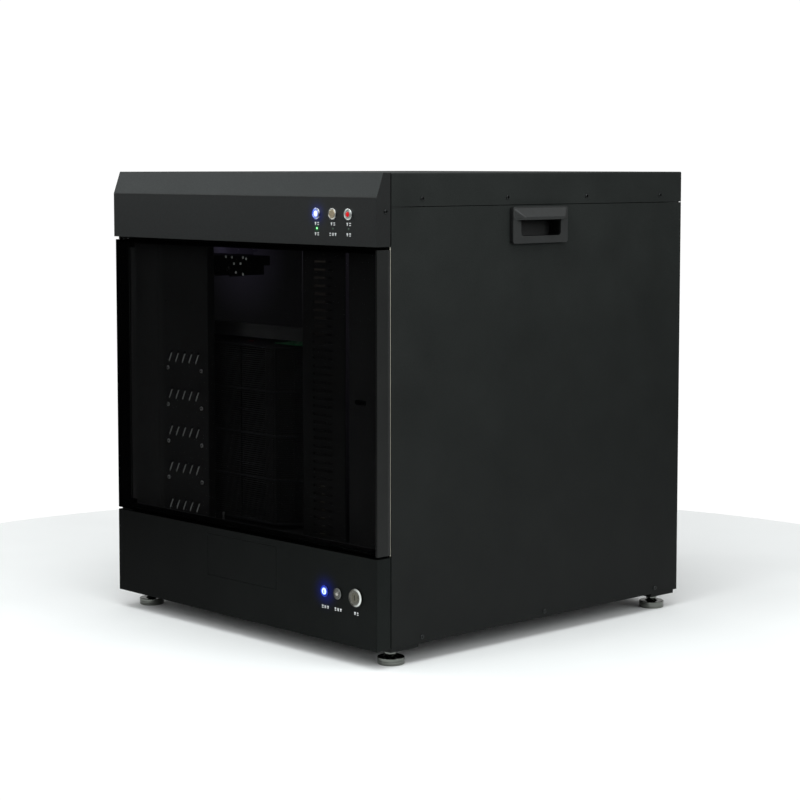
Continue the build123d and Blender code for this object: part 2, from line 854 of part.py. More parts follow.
vent_heights = [deck_top + rise for rise in vent_rises]
vent_angle = degrees(atan2(vent_height, vent_lean))
vent_length = hypot(vent_height, vent_lean)
vent_screws = [
    (from_right(inset), row - vent_screw_drop) for row in vent_heights for inset in vent_screw_insets
    if row - vent_screw_drop > deck_top + screw_radius
]
with BuildPart() as vent_panel:
    vent_x0, vent_x1 = from_right(vent_left), from_right(vent_right)
    block(vent_x0, vent_x1, panel_front, panel_back, deck_top, panel_top)
    block(vent_x1 - sheet, vent_x1, panel_back, panel_back + pillar_return, deck_top, panel_top)
    for row in vent_heights:
        with BuildSketch(facing_front(from_right(vent_first), panel_back, row)):
            with Locations(*[(index * vent_pitch, 0) for index in range(vents_per_row)]):
                SlotOverall(vent_length, vent_width, rotation=vent_angle)
        extrude(amount=sheet, mode=Mode.SUBTRACT)
    for inset in panel_hole_insets:
        hole_place = facing_front(from_right(inset), panel_back, deck_top + panel_hole_rise)
        rod(hole_place, panel_hole_radius, sheet, Mode.SUBTRACT)
save(vent_panel, "vent_panel")

# Slotted pillar: a shallow channel with a column of level slots
with BuildPart() as slotted_pillar:
    pillar_x0, pillar_x1 = from_right(pillar_left), from_right(pillar_right)
    block(pillar_x0, pillar_x1, panel_front, panel_back, deck_top, panel_top)
    block(pillar_x0, pillar_x0 + sheet, panel_back, panel_back + pillar_return, deck_top, panel_top)
    slot_x = from_right((pillar_slot_left + pillar_slot_right) / 2)
    slots_low, slots_high = deck_top + pillar_slot_rise, panel_top - pillar_slot_drop
    slot_mid = (slots_low + slots_high) / 2
    slot_pitch = (slots_high - slots_low) / (pillar_slot_count - 1)
    with BuildSketch(facing_front(slot_x, panel_back, slot_mid)):
        with GridLocations(slot_pitch, slot_pitch, 1, pillar_slot_count):
            SlotOverall(pillar_slot_left - pillar_slot_right, pillar_slot_height)
    extrude(amount=sheet, mode=Mode.SUBTRACT)
save(slotted_pillar, "slotted_pillar")

# Right trim panel: a plate with the strike slot, stepped back into the lit groove
with BuildPart() as right_trim_panel:
    groove_x0, groove_x1 = from_right(pillar_right) + panel_gap, from_right(groove_right)
    groove_back = panel_front + groove_depth + sheet
    block(groove_x1, inner, panel_front, panel_back, deck_top, panel_top)
    block(groove_x1, groove_x1 + sheet, panel_front, groove_back, deck_top, panel_top)
    block(groove_x0, groove_x1, panel_front + groove_depth, groove_back, deck_top, panel_top)
    with BuildSketch(facing_front(from_right(strike_from_right), panel_back, strike_height)):
        SlotOverall(strike_length, strike_width)
    extrude(amount=sheet, mode=Mode.SUBTRACT)
save(right_trim_panel, "right_trim_panel")

# Partition behind the picker, and the picker's rail with a stop at each end of its travel
picker_x = from_right(picker_centre)
partition_y = from_front(partition_front)
with BuildPart() as partition:
    partition_x1, partition_top = from_right(partition_right), cover_inside - post_width
    block(-inner, partition_x1, partition_y, partition_y + sheet, beam_top, partition_top)
save(partition, "partition")

with BuildPart() as picker_rail:
    rail_y0, rail_y1 = partition_y - rail_depth, partition_y
    block(-inner, inner, rail_y0, rail_y1, rail_bottom, rail_top)
    left_stop = picker_x - picker_plate_width / 2 - picker_gap - rail_stop_length
    right_stop = picker_x + picker_plate_width / 2 + picker_travel + picker_gap
    for x in (left_stop, right_stop):
        block(x, x + rail_stop_length, rail_y0 - rail_stop_reach, rail_y0, rail_bottom, rail_top)
save(picker_rail, "picker_rail")

with BuildPart() as light_strip:
    block(
        from_right(light_left), from_right(light_right), partition_y - light_depth, partition_y,
        light_bottom, light_bottom + light_height,
    )
    fillet(light_strip.edges().group_by(Axis.Y)[0].filter_by(Axis.X), light_round)
save(light_strip, "light_strip")

# Circuit boards: the sensor board under the cross beam and the controller in the base
controller_x, controller_y = from_right(controller_from_right), from_front(controller_from_front)
controller_z = base + sheet + standoff_height
with BuildPart() as circuit_boards:
    board_x0, board_x1 = from_right(board_left), from_right(partition_right)
    board_y1 = cross_beam_y + cross_beam_depth
    block(board_x0, board_x1, board_y1 - board_depth, board_y1, beam_bottom - board_thickness, beam_bottom)
    half_w, half_d = controller_width / 2, controller_depth / 2
    block(
        controller_x - half_w, controller_x + half_w, controller_y - half_d, controller_y + half_d,
        controller_z, controller_z + board_thickness,
    )
    chip_z = controller_z + board_thickness
    for dx, dy, w, d, h in controller_chips:
        x, y = controller_x + dx, controller_y + dy
        block(x - w / 2, x + w / 2, y - d / 2, y + d / 2, chip_z, chip_z + h)
    for sx in (-1, 1):
        for sy in (-1, 1):
            x = controller_x + sx * (half_w - standoff_inset)
            y = controller_y + sy * (half_d - standoff_inset)
            rod(upright(x, y, base + sheet), standoff_radius, standoff_height)
save(circuit_boards, "circuit_boards")

with BuildPart() as power_supply:
    supply_x = supply_from_left - half_width
    supply_y = rear - 3 * sheet - socket_depth - supply_depth / 2
    with Locations((supply_x, supply_y, base + sheet + supply_height / 2)):
        Box(supply_width, supply_depth, supply_height)
    with BuildSketch(Plane(origin=(supply_x, supply_y, base + sheet + supply_height))):
        with GridLocations(supply_slot_pitch, supply_slot_row_pitch, supply_slot_columns, supply_slot_rows):
            SlotOverall(supply_slot_length, supply_slot_width, rotation=90)
    extrude(amount=-supply_slot_depth, mode=Mode.SUBTRACT)
save(power_supply, "power_supply")

# Drum bearing, spindle, plates and gear
magazine_height = rows_per_magazine * row_pitch
bearing_bottom = deck_bottom - bearing_depth
bearing_top = drum_base - fit_gap
with BuildPart() as drum_bearing:
    rod(upright(drum_x, drum_y, bearing_bottom), bearing_radius, bearing_top - bearing_bottom)
    flange_z = deck_bottom - bearing_flange_thickness
    rod(upright(drum_x, drum_y, flange_z), bearing_flange_radius, bearing_flange_thickness)
    rod(
        upright(drum_x, drum_y, bearing_bottom), journal_radius + running_clearance,
        bearing_top - bearing_bottom, Mode.SUBTRACT,
    )
save(drum_bearing, "drum_bearing")

with BuildPart() as drum_spindle:
    rod(upright(drum_x, drum_y, bearing_bottom), journal_radius, drum_base - bearing_bottom)
    rod(upright(drum_x, drum_y, drum_base), spindle_radius, drum_top - drum_base + hub_height)
    rod(upright(drum_x, drum_y, drum_top), hub_radius, hub_plate_thickness)
save(drum_spindle, "drum_spindle")

face_angle = 360 / columns
first_face = -90.0


def gear_outline(teeth, phase):
    """Points round a spur gear with straight-sided teeth; phase turns it, in teeth."""
    root = gear_module * (teeth / 2 - gear_dedendum)
    tip = gear_module * (teeth / 2 + gear_addendum)
    corners = ((root, -tooth_foot), (tip, -tooth_tip), (tip, tooth_tip), (root, tooth_foot))
    step = 2 * pi / teeth
    points = []
    for index in range(teeth):
        centre = (index + phase) * step
        for radius, offset in corners:
            angle = centre + offset * step
            points.append((radius * cos(angle), radius * sin(angle)))
    return points


gear_turn = gear_axis_angle / 360 * gear_teeth
with BuildPart() as drum_plates:
    for index in range(tiers + 1):
        with BuildSketch(Plane(origin=(drum_x, drum_y, drum_base + index * tier_pitch))):
            RegularPolygon(drum_vertex_radius, columns, rotation=first_face + face_angle / 2)
            Circle(spindle_radius + fit_gap, mode=Mode.SUBTRACT)
        extrude(amount=plate_thickness)
    with BuildSketch(Plane(origin=(drum_x, drum_y, drum_base - gear_thickness))):
        with BuildLine():
            Polyline(*gear_outline(gear_teeth, gear_turn % 1), close=True)
        make_face()
        Circle(gear_bore_radius, mode=Mode.SUBTRACT)
    extrude(amount=gear_thickness)
save(drum_plates, "drum_plates")

# Pinion on the drum motor's shaft, in mesh with the drum's gear
pinion_turn = ((gear_axis_angle + 180) / 360 * pinion_teeth + 0.5) % 1
with BuildPart() as drum_pinion:
    with BuildSketch(Plane(origin=(motor_x, motor_y, drum_base - gear_thickness))):
        with BuildLine():
            Polyline(*gear_outline(pinion_teeth, pinion_turn), close=True)
        make_face()
        Circle(motor_shaft_radius + running_clearance, mode=Mode.SUBTRACT)
    extrude(amount=gear_thickness - fit_gap)
save(drum_pinion, "drum_pinion")

# Motors: the drum motor under the deck, the lift motor and the picker motor
rod_x = from_right(rod_from_right)
lane_x, lane_y = from_right(disc_lane_from_right), drum_y
rod_places = [(rod_x, lane_y - rod_spacing / 2), (rod_x, lane_y + rod_spacing / 2)]
with BuildPart() as motors:
    rod(upright(motor_x, motor_y, deck_bottom), motor_boss_radius, sheet)
    half = motor_size / 2
    motor_bottom = deck_bottom - motor_length
    block(motor_x - half, motor_x + half, motor_y - half, motor_y + half, motor_bottom, deck_bottom)
    rod(upright(motor_x, motor_y, deck_top), motor_shaft_radius, drum_base - deck_top - 2 * fit_gap)
    small_half = small_motor_size / 2
    lift_motor_z = rod_top + fit_gap + rod_bracket_thickness
    block(
        inner - small_motor_size - sheet, inner - sheet, lane_y - small_half, lane_y + small_half,
        lift_motor_z, lift_motor_z + small_motor_size,
    )
    picker_motor_z = rail_bottom + rail_height
    block(
        -inner + sheet, -inner + sheet + small_motor_size, partition_y - small_motor_size, partition_y,
        picker_motor_z, picker_motor_z + small_motor_size,
    )
save(motors, "motors")

# One magazine, facing +X from the drum's axis: thin shelves with a round pocket between each two, open to
# the front, a slit for the disc hook in the middle and a row of beads down each side
half_face = radians(face_angle / 2)
magazine_front = drum_vertex_radius * cos(half_face) - magazine_front_setback
disc_centre = magazine_front - disc_front_setback - disc_radius
pocket_radius = disc_radius + disc_clearance


def magazine_half_width(radius):
    """Half the magazine's width at a distance from the drum's axis."""
    return radius * tan(half_face) - magazine_side_gap / cos(half_face)


shelf_thickness = row_pitch - pocket_height
pocket_planes = [Plane.XY.offset(shelf_thickness + row * row_pitch) for row in range(rows_per_magazine)]
front_half = magazine_half_width(magazine_front)
with BuildPart() as magazine:
    with BuildSketch():
        with BuildLine():
            inner_half = magazine_half_width(magazine_inner_radius)
            Polyline(
                (magazine_inner_radius, -inner_half), (magazine_front, -front_half),
                (magazine_front, front_half), (magazine_inner_radius, inner_half), close=True,
            )
        make_face()
    extrude(amount=magazine_height)
    with BuildSketch(*pocket_planes):
        with Locations((disc_centre, 0)):
            Circle(pocket_radius)
        with Locations(((disc_centre + magazine_front + cut_over) / 2, 0)):
            Rectangle(magazine_front + cut_over - disc_centre, 2 * pocket_radius)
        with Locations((magazine_front, 0)):
            Rectangle(2 * face_groove_depth, 2 * (front_half + cut_over))
    extrude(amount=pocket_height, mode=Mode.SUBTRACT)
    slit_front = magazine_front + cut_over
    block(
        magazine_front - slit_depth, slit_front, -slit_width / 2, slit_width / 2, 0, magazine_height,
        Mode.SUBTRACT,
    )
    for side in (-1, 1):
        y0, y1 = sorted((side * (front_half - bead_width), side * (front_half - bead_width - bead_gap)))
        block(magazine_front - face_groove_depth, slit_front, y0, y1, 0, magazine_height, Mode.SUBTRACT)


def column_place(column, z):
    """Where a drum column's own frame lies, at a height."""
    return Location((drum_x, drum_y, z), (0, 0, first_face + column * face_angle))


tier_floors = [drum_base + plate_thickness + tier * tier_pitch for tier in range(tiers)]
magazine_places = [column_place(column, z) for z in tier_floors for column in range(columns)]
magazines = Compound(children=[magazine.part.moved(place) for place in magazine_places])
magazines.label = "magazines"
export_step(magazines, "parts/magazines.step")

# Stored discs: a few in each column, lying on their shelves
with BuildPart() as disc:
    rod(Plane.XY, disc_radius, disc_thickness)
    rod(Plane.XY, disc_hole_radius, disc_thickness, Mode.SUBTRACT)
disc_places = []
for column in range(columns):
    for tier, floor in enumerate(tier_floors):
        row = (3 * column + 5 * tier) % rows_per_magazine
        z = floor + shelf_thickness + row * row_pitch
        disc_places.append(column_place(column, z) * Location((disc_centre, 0, 0)))
stored_discs = Compound(children=[disc.part.moved(place) for place in disc_places])
stored_discs.label = "stored_discs"
export_step(stored_discs, "parts/stored_discs.step")

# Lift: two guide rods under a bracket, and the carriage with its beam, as long as the shuttle's travel
with BuildPart() as lift_rods:
    for x, y in rod_places:
        rod(upright(x, y, deck_top), rod_radius, rod_top - deck_top)
    bracket_half = rod_spacing / 2 + rod_bracket_depth / 2
    block(
        inner - small_motor_size - sheet, inner, lane_y - bracket_half, lane_y + bracket_half,
        rod_top + fit_gap, rod_top + fit_gap + rod_bracket_thickness,
    )
save(lift_rods, "lift_rods")

drive_y = from_front(drive_front)
shuttle_back = drive_y - tray_travel + tray_disc_setback - lane_y
beam_spare = shuttle_block_length / 2 + carriage_beam_spare
beam_y0, beam_y1 = lane_y - shuttle_forward - beam_spare, lane_y + shuttle_back + beam_spare
beam_x1 = rod_x - carriage_block / 2
beam_x0 = beam_x1 - carriage_beam_thickness
carriage_top = lift_rest + carriage_beam_height / 2
with BuildPart() as lift_carriage:
    block(beam_x0, beam_x1, beam_y0, beam_y1, lift_rest - carriage_beam_height / 2, carriage_top)
    for x, y in rod_places:
        half_depth = carriage_block_depth / 2
        block_bottom = lift_rest - carriage_block_height / 2
        block_top = block_bottom + carriage_block_height
        block(beam_x1, x + carriage_block / 2, y - half_depth, y + half_depth, block_bottom, block_top)
        rod_bore = rod_radius + running_clearance
        rod(upright(x, y, block_bottom), rod_bore, carriage_block_height, Mode.SUBTRACT)
save(lift_carriage, "lift_carriage")

# Disc shuttle: a slider over the carriage's beam with a round forked plate for the disc
plate_z = carriage_top + shuttle_gap
with BuildPart() as disc_shuttle:
    slider_x0 = beam_x0 - shuttle_gap - shuttle_block_width
    slider_x1 = beam_x0 - shuttle_gap
    y0, y1 = lane_y - shuttle_block_length / 2, lane_y + shuttle_block_length / 2
    block(slider_x0, slider_x1, y0, y1, lift_rest - carriage_beam_height / 2, plate_z)
    block(slider_x0, beam_x1 - shuttle_gap, y0, y1, plate_z, plate_z + shuttle_plate_thickness)
    with BuildSketch(Plane(origin=(lane_x, lane_y, plate_z))):
        Circle(shuttle_plate_radius)
        with Locations(((slider_x0 - lane_x) / 2, 0)):
            Rectangle(slider_x0 - lane_x, shuttle_block_length)
        with Locations((-shuttle_plate_radius / 2, 0)):
            Rectangle(shuttle_plate_radius + shuttle_fork_gap, shuttle_fork_gap, mode=Mode.SUBTRACT)
    extrude(amount=shuttle_plate_thickness)
save(disc_shuttle, "disc_shuttle")

# Drives: boxes in a rack of two plates, each with an open slot for its tray
drive_floors = [drive_bottom + index * drive_pitch for index in range(drive_count)]
with BuildPart() as drive_rack:
    for side in (-1, 1):
        wall_x = lane_x + side * drive_width / 2
        x0, x1 = sorted((wall_x, wall_x + side * drive_rack_wall))
        block(x0, x1, drive_y + drive_rack_wall, drive_y + drive_length, deck_top, drive_rack_top)
save(drive_rack, "drive_rack")

with BuildPart() as drive_bodies:
    for floor in drive_floors:
        x0, x1 = lane_x - drive_width / 2, lane_x + drive_width / 2
        block(x0, x1, drive_y, drive_y + drive_length, floor, floor + drive_height)
        tray_z = floor + tray_bottom
        slot_half = tray_width / 2 + tray_clearance
        block(
            lane_x - slot_half, lane_x + slot_half, drive_y, drive_y + tray_length + tray_clearance,
            tray_z - tray_clearance, tray_z + tray_height + tray_clearance, Mode.SUBTRACT,
        )
save(drive_bodies, "drive_bodies")

for index, floor in enumerate(drive_floors, 1):
    with BuildPart() as tray:
        tray_z = floor + tray_bottom
        x0, x1 = lane_x - tray_width / 2, lane_x + tray_width / 2
        block(x0, x1, drive_y, drive_y + tray_length, tray_z, tray_z + tray_height)
        recess_plane = upright(lane_x, drive_y + tray_disc_setback, tray_z + tray_height - tray_recess)
        rod(recess_plane, disc_radius + tray_recess_play, tray_recess, Mode.SUBTRACT)
        with BuildSketch(upright(lane_x, drive_y + tray_disc_setback + disc_radius / 2, tray_z)):
            SlotOverall(tray_window_length, tray_window_width, rotation=90)
        extrude(amount=tray_height, mode=Mode.SUBTRACT)
    save(tray, f"drive_tray_{index}")

# Picker: a carriage hooked over the rail, its stepped block, and two fingers in grooves under it
picker_y = from_front(picker_front)
picker_top = picker_bottom + picker_height
with BuildPart() as picker_carriage:
    half = picker_width / 2
    step_z = picker_bottom + picker_height / 2
    picker_back = picker_y + picker_depth
    block(picker_x - half, picker_x + half, picker_y, picker_back, step_z, picker_top)
    block(picker_x - half, picker_x + half - picker_step, picker_y, picker_back, picker_bottom, step_z)
    plate_half = picker_plate_width / 2
    plate_back = rail_y0 - picker_gap
    hook_back = rail_y1 - 2 * picker_gap
    x0, x1 = picker_x - plate_half, picker_x + plate_half
    lower_hook = rail_bottom - picker_gap
    block(x0, x1, plate_back - picker_wall, plate_back, picker_top, picker_plate_top)
    block(x0, x1, plate_back, hook_back, rail_top + picker_gap, picker_plate_top)
    block(x0, x1, plate_back, hook_back, lower_hook - picker_wall, lower_hook)
    finger_y = picker_y + (picker_depth - finger_depth) / 2
    groove_length = finger_width + finger_travel + 2 * fit_gap
    for side in (-1, 1):
        groove_near, groove_far = finger_offset - fit_gap, finger_offset + groove_length
        x0, x1 = sorted((picker_x + side * groove_near, picker_x + side * groove_far))
        block(
            x0, x1, finger_y - fit_gap, finger_y + finger_depth + fit_gap,
            picker_bottom, picker_bottom + finger_guide + fit_gap, Mode.SUBTRACT,
        )
    with BuildSketch(facing_front(picker_x, plate_back - picker_wall, picker_top)):
        with BuildLine():
            Polyline(
                (-vee_foot, 0), (vee_foot, 0), (vee_top, vee_height), (-vee_top, vee_height), close=True,
            )
        make_face()
    extrude(amount=vee_depth)
save(picker_carriage, "picker_carriage")

finger_top = picker_bottom + finger_guide
for name, side in (("picker_finger_left", -1), ("picker_finger_right", 1)):
    with BuildPart() as finger:
        x0, x1 = sorted((picker_x + side * finger_offset, picker_x + side * (finger_offset + finger_width)))
        block(x0, x1, finger_y, finger_y + finger_depth, finger_top - finger_guide, finger_top)
        inner_x = picker_x + side * finger_offset
        tip0, tip1 = sorted((inner_x, inner_x + side * finger_guide))
        block(tip0, tip1, finger_y, finger_y + finger_depth, finger_top - finger_height, finger_top)
    save(finger, name)

# Fan: a square frame with three arms and a pin, and the bladed rotor that turns on it
fan_back = rear - sheet
boss_front = fan_back - fan_boss_depth
with BuildPart() as fan_frame:
    with BuildSketch(facing_front(fan_x, fan_back, fan_height)):
        RectangleRounded(fan_size, fan_size, fan_corner)
        Circle(fan_bore_radius, mode=Mode.SUBTRACT)
        with GridLocations(fan_screw_spacing, fan_screw_spacing, 2, 2):
            Circle(fan_screw_hole, mode=Mode.SUBTRACT)
    extrude(amount=fan_depth)
    with BuildSketch(facing_front(fan_x, fan_back, fan_height)):
        with PolarLocations((fan_bore_radius + fan_hub_radius) / 2, fan_arms, start_angle=90):
            Rectangle(fan_bore_radius - fan_hub_radius + 2 * fan_arm_overlap, fan_arm_width)
        Circle(fan_hub_radius)
    extrude(amount=fan_boss_depth)
    fan_pin_length = fan_depth - fan_boss_depth - fan_pin_spare
    rod(facing_front(fan_x, boss_front, fan_height), fan_pin_radius, fan_pin_length)
save(fan_frame, "fan_frame")

hub_back = boss_front - fit_gap
hub_length = fan_depth - fan_boss_depth - fan_front_gap
with BuildPart() as fan_rotor:
    rod(facing_front(fan_x, hub_back, fan_height), fan_hub_radius, hub_length)
    mid_radius = (fan_hub_radius + fan_blade_radius) / 2
    mid_y = hub_back - hub_length / 2
    for index in range(fan_blades):
        angle = 2 * pi * index / fan_blades
        outward = Vector(cos(angle), 0, sin(angle))
        along = Vector(-sin(angle), 0, cos(angle))
        tilt = radians(fan_blade_tilt)
        blade_normal = along * sin(tilt) + Vector(0, 1, 0) * cos(tilt)
        centre = Vector(fan_x, mid_y, fan_height) + outward * mid_radius
        with Locations(Plane(origin=centre, x_dir=outward, z_dir=blade_normal)):
            Box(fan_blade_radius - fan_hub_radius + fan_arm_overlap, fan_blade_chord, fan_blade_thickness)
    rod(facing_front(fan_x, hub_back, fan_height), fan_blade_radius, hub_length, Mode.INTERSECT)
    pin_bore = fan_pin_radius + running_clearance
    rod(facing_front(fan_x, hub_back, fan_height), pin_bore, hub_length - fan_cap, Mode.SUBTRACT)
save(fan_rotor, "fan_rotor")

# Carry handles: a proud frame with a sloped brow, and a finger cup behind the side panel
handle_y0, handle_y1 = from_front(handle_front), from_front(handle_rear)
grip_y0, grip_y1 = from_front(grip_front), from_front(grip_rear)
grip_back = half_width - grip_depth
with BuildPart() as carry_handles:
    block(half_width, half_width + handle_proud, handle_y0, handle_y1, handle_bottom, handle_top)
    fillet(carry_handles.edges().filter_by(Axis.X), handle_round)
    brow_mid = (handle_y0 + handle_y1) / 2
    brow_root, brow_top = handle_proud - cut_over, handle_top - brow_edge
    brow_span = handle_rear - handle_front
    with BuildSketch(Plane(origin=(half_width + brow_root, brow_mid, 0), x_dir=(0, 1, 0), z_dir=(1, 0, 0))):
        with Locations((0, (brow_bottom + brow_top) / 2)):
            RectangleRounded(brow_span - 2 * brow_edge, brow_top - brow_bottom, brow_round)
    with BuildSketch(Plane(origin=(half_width + brow_proud, brow_mid, 0), x_dir=(0, 1, 0), z_dir=(1, 0, 0))):
        with Locations((0, brow_bottom + brow_lip / 2)):
            RectangleRounded(brow_span - 2 * brow_inset, brow_lip, brow_lip_round)
    loft()
    block(
        grip_back, half_width, grip_y0 - grip_wall, grip_y1 + grip_wall,
        grip_bottom - grip_wall, brow_bottom + grip_rise + grip_wall,
    )
    grip_x0 = grip_back + grip_wall
    block(
        grip_x0, half_width + handle_proud, grip_y0, grip_y1, grip_bottom, brow_bottom, Mode.SUBTRACT,
    )
    block(
        grip_x0, half_width + brow_proud - brow_wall, grip_y0, grip_y1,
        brow_bottom, brow_bottom + grip_rise, Mode.SUBTRACT,
    )
    cross_edges = carry_handles.edges().filter_by(Axis.X)
    lower_corners = cross_edges.filter_by_position(Axis.Z, grip_bottom - fit_gap, grip_bottom + fit_gap)
    fillet(lower_corners, grip_round)
    mirror(about=Plane.YZ)
save(carry_handles, "carry_handles")

# Screws: domed heads on the casing, small ones on the inner panels, and the sensor pin on the deck
side_screws = [(cover_screw_height, from_front(row)) for row in cover_screw_rows]
side_screws += [(lower_screw_height, from_front(row)) for row in lower_screw_rows]
side_screws += [(hood_screw_height, from_front(hood_screw_row))]


def dome(plane, radius, height):
    """A screw head: a short cylinder with its rim rounded off."""
    with BuildPart(mode=Mode.PRIVATE) as head:
        rod(Plane.XY, radius, height)
        fillet(head.edges().filter_by(GeomType.CIRCLE).sort_by(Axis.Z)[-1], height * screw_dome)
    with Locations(plane):
        add(head.part)


with BuildPart() as screws:
    for z, y in side_screws:
        for side in (-1, 1):
            dome(Plane(origin=(side * half_width, y, z), z_dir=(side, 0, 0)), screw_radius, screw_head)
    screws_low, screws_high = base + rear_screw_rise, top - rear_screw_drop
    for index in range(rear_screw_count):
        z = screws_low + (screws_high - screws_low) * index / (rear_screw_count - 1)
        for side in (-1, 1):
            place = (side * (half_width - rear_screw_inset), rear, z)
            dome(Plane(origin=place, z_dir=(0, 1, 0)), screw_radius, screw_head)
    for x, z in vent_screws:
        dome(facing_front(x, panel_front, z), screw_radius, screw_head)
    groove_x = (groove_x0 + groove_x1) / 2
    for rise in groove_screw_rises:
        place = facing_front(groove_x, panel_front + groove_depth, deck_top + rise)
        dome(place, small_screw_radius, screw_head / 2)
    pin_x, pin_y = from_right(pin_from_right), from_front(pin_from_front)
    rod(upright(pin_x, pin_y, deck_top), pin_radius, pin_height)
save(screws, "screws")
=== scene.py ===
import bpy
import bmesh
from math import cos, pi, radians, sin
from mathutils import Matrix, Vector


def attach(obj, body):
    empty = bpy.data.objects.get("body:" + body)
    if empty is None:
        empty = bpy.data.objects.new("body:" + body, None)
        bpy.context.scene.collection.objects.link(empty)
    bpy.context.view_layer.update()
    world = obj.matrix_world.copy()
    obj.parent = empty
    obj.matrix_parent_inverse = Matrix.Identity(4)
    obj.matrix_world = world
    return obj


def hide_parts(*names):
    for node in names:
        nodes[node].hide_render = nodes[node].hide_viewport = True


# Dresses the optical disc library: materials for its solids, small lit and printed pieces, studio and camera.
# Lengths are metres in the record's frame: +X right, -Y front, +Z up.

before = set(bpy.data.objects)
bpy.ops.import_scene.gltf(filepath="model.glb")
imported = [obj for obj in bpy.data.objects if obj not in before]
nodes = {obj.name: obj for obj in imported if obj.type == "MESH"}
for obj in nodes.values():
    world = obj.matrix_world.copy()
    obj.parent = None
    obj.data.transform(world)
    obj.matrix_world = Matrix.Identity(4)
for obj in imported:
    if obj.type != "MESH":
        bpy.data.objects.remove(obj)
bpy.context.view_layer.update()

# Front planes of the casing and of the panels behind the glass
FRONT = -0.368
PANEL = -0.335

# Places of the controls in the front plane, as (x, z)
HOOD_BUTTONS = [(0.205, 0.718), (0.2435, 0.718), (0.281, 0.718)]
FASCIA_BUTTONS = [(0.223, 0.111), (0.254, 0.111)]
BUTTONS = HOOD_BUTTONS + FASCIA_BUTTONS
POWER, HOME, STOP, START, OPEN = range(len(BUTTONS))
KEY = (0.2975, 0.111)
INDICATOR_Z = 0.6945


def on_front(place, y=FRONT):
    return place[0], y, place[1]


def dim(colour, k):
    return tuple(v * k for v in colour)


# Materials
class Mat:
    """A node material under construction, with short calls for its usual parts."""

    def __init__(self, name):
        self.m = bpy.data.materials.new(name)
        self.m.use_nodes = True
        self.t = self.m.node_tree
        self.b = self.t.nodes["Principled BSDF"]
        self.c = self.t.nodes.new("ShaderNodeTexCoord").outputs["Object"]

    def set(self, **values):
        for key, value in values.items():
            self.b.inputs[key.replace("_", " ")].default_value = value

    def link(self, a, b):
        self.t.links.new(a, b)

    def feed(self, value, socket):
        """Drives a socket of the surface's shader."""
        self.link(value, self.b.inputs[socket])

    def tint(self, fac, colour, low, high, start=0.3, end=0.7, socket="Base Color"):
        """Feeds the colour, scaled by low where the factor is at start and by high where it is at end."""
        self.feed(self.ramp(fac, [(start, dim(colour, low)), (end, dim(colour, high))]), socket)

    def mapped(self, scale=(1, 1, 1), location=(0, 0, 0)):
        n = self.t.nodes.new("ShaderNodeMapping")
        n.inputs["Scale"].default_value = scale
        n.inputs["Location"].default_value = location
        self.link(self.c, n.inputs["Vector"])
        return n.outputs["Vector"]

    def noise(self, scale, detail=2.0, rough=0.5, vector=None):
        n = self.t.nodes.new("ShaderNodeTexNoise")
        n.inputs["Scale"].default_value = scale
        n.inputs["Detail"].default_value = detail
        n.inputs["Roughness"].default_value = rough
        self.link(vector or self.c, n.inputs["Vector"])
        return n.outputs["Fac"]

    def cells(self, scale, output="Color"):
        n = self.t.nodes.new("ShaderNodeTexVoronoi")
        n.inputs["Scale"].default_value = scale
        self.link(self.c, n.inputs["Vector"])
        return n.outputs[output]

    def ramp(self, fac, stops):
        n = self.t.nodes.new("ShaderNodeValToRGB")
        elements = n.color_ramp.elements
        while len(elements) < len(stops):
            elements.new(0.5)
        for e, (p, c) in zip(elements, stops):
            e.position = p
            e.color = (*c, 1)
        self.link(fac, n.inputs["Fac"])
        return n.outputs["Color"]

    def span(self, fac, low, high, start=0.3, end=0.7):
        n = self.t.nodes.new("ShaderNodeMapRange")
        n.inputs["From Min"].default_value = start
        n.inputs["From Max"].default_value = end
        n.inputs["To Min"].default_value = low
        n.inputs["To Max"].default_value = high
        self.link(fac, n.inputs["Value"])
        return n.outputs["Result"]

    def math(self, kind, a, b=None):
        n = self.t.nodes.new("ShaderNodeMath")
        n.operation = kind
        for socket, value in zip(n.inputs, (a, b)):
            if isinstance(value, (int, float)):
                socket.default_value = value
            elif value is not None:
                self.link(value, socket)
        return n.outputs[0]

    def vector(self, kind, a, b=None, factor=None):
        n = self.t.nodes.new("ShaderNodeVectorMath")
        n.operation = kind
        for socket, value in zip(n.inputs, (a, b)):
            if isinstance(value, tuple):
                socket.default_value = value
            elif value is not None:
                self.link(value, socket)
        if factor is not None:
            self.link(factor, n.inputs["Scale"])
        return n.outputs["Value" if kind == "DISTANCE" else "Vector"]

    def axis(self, name, vector=None):
        n = self.t.nodes.new("ShaderNodeSeparateXYZ")
        self.link(vector or self.c, n.inputs[0])
        return n.outputs[name]

    def bump(self, height, distance, strength=1.0, edge=0.0):
        """Relief of the height, on edges that look rounded by the radius edge."""
        n = self.t.nodes.new("ShaderNodeBump")
        n.inputs["Distance"].default_value = distance
        n.inputs["Strength"].default_value = strength
        self.link(height, n.inputs["Height"])
        if edge:
            bevel = self.t.nodes.new("ShaderNodeBevel")
            bevel.samples = 4
            bevel.inputs["Radius"].default_value = edge
            self.link(bevel.outputs["Normal"], n.inputs["Normal"])
        self.feed(n.outputs["Normal"], "Normal")

    def spill(self, spots, mask=None):
        """Painted light round lamps, laid on as emission: (centre, colour, radius, how fast it falls off)."""
        total = None
        for centre, colour, radius, power in spots:
            near = self.span(self.vector("DISTANCE", self.c, centre), 1.0, 0.0, 0.0, radius)
            light = self.vector("SCALE", colour, factor=self.math("POWER", near, power))
            total = light if total is None else self.vector("ADD", total, light)
        if mask is not None:
            total = self.vector("SCALE", total, factor=mask)
        self.feed(total, "Emission Color")
        self.set(Emission_Strength=1.0)


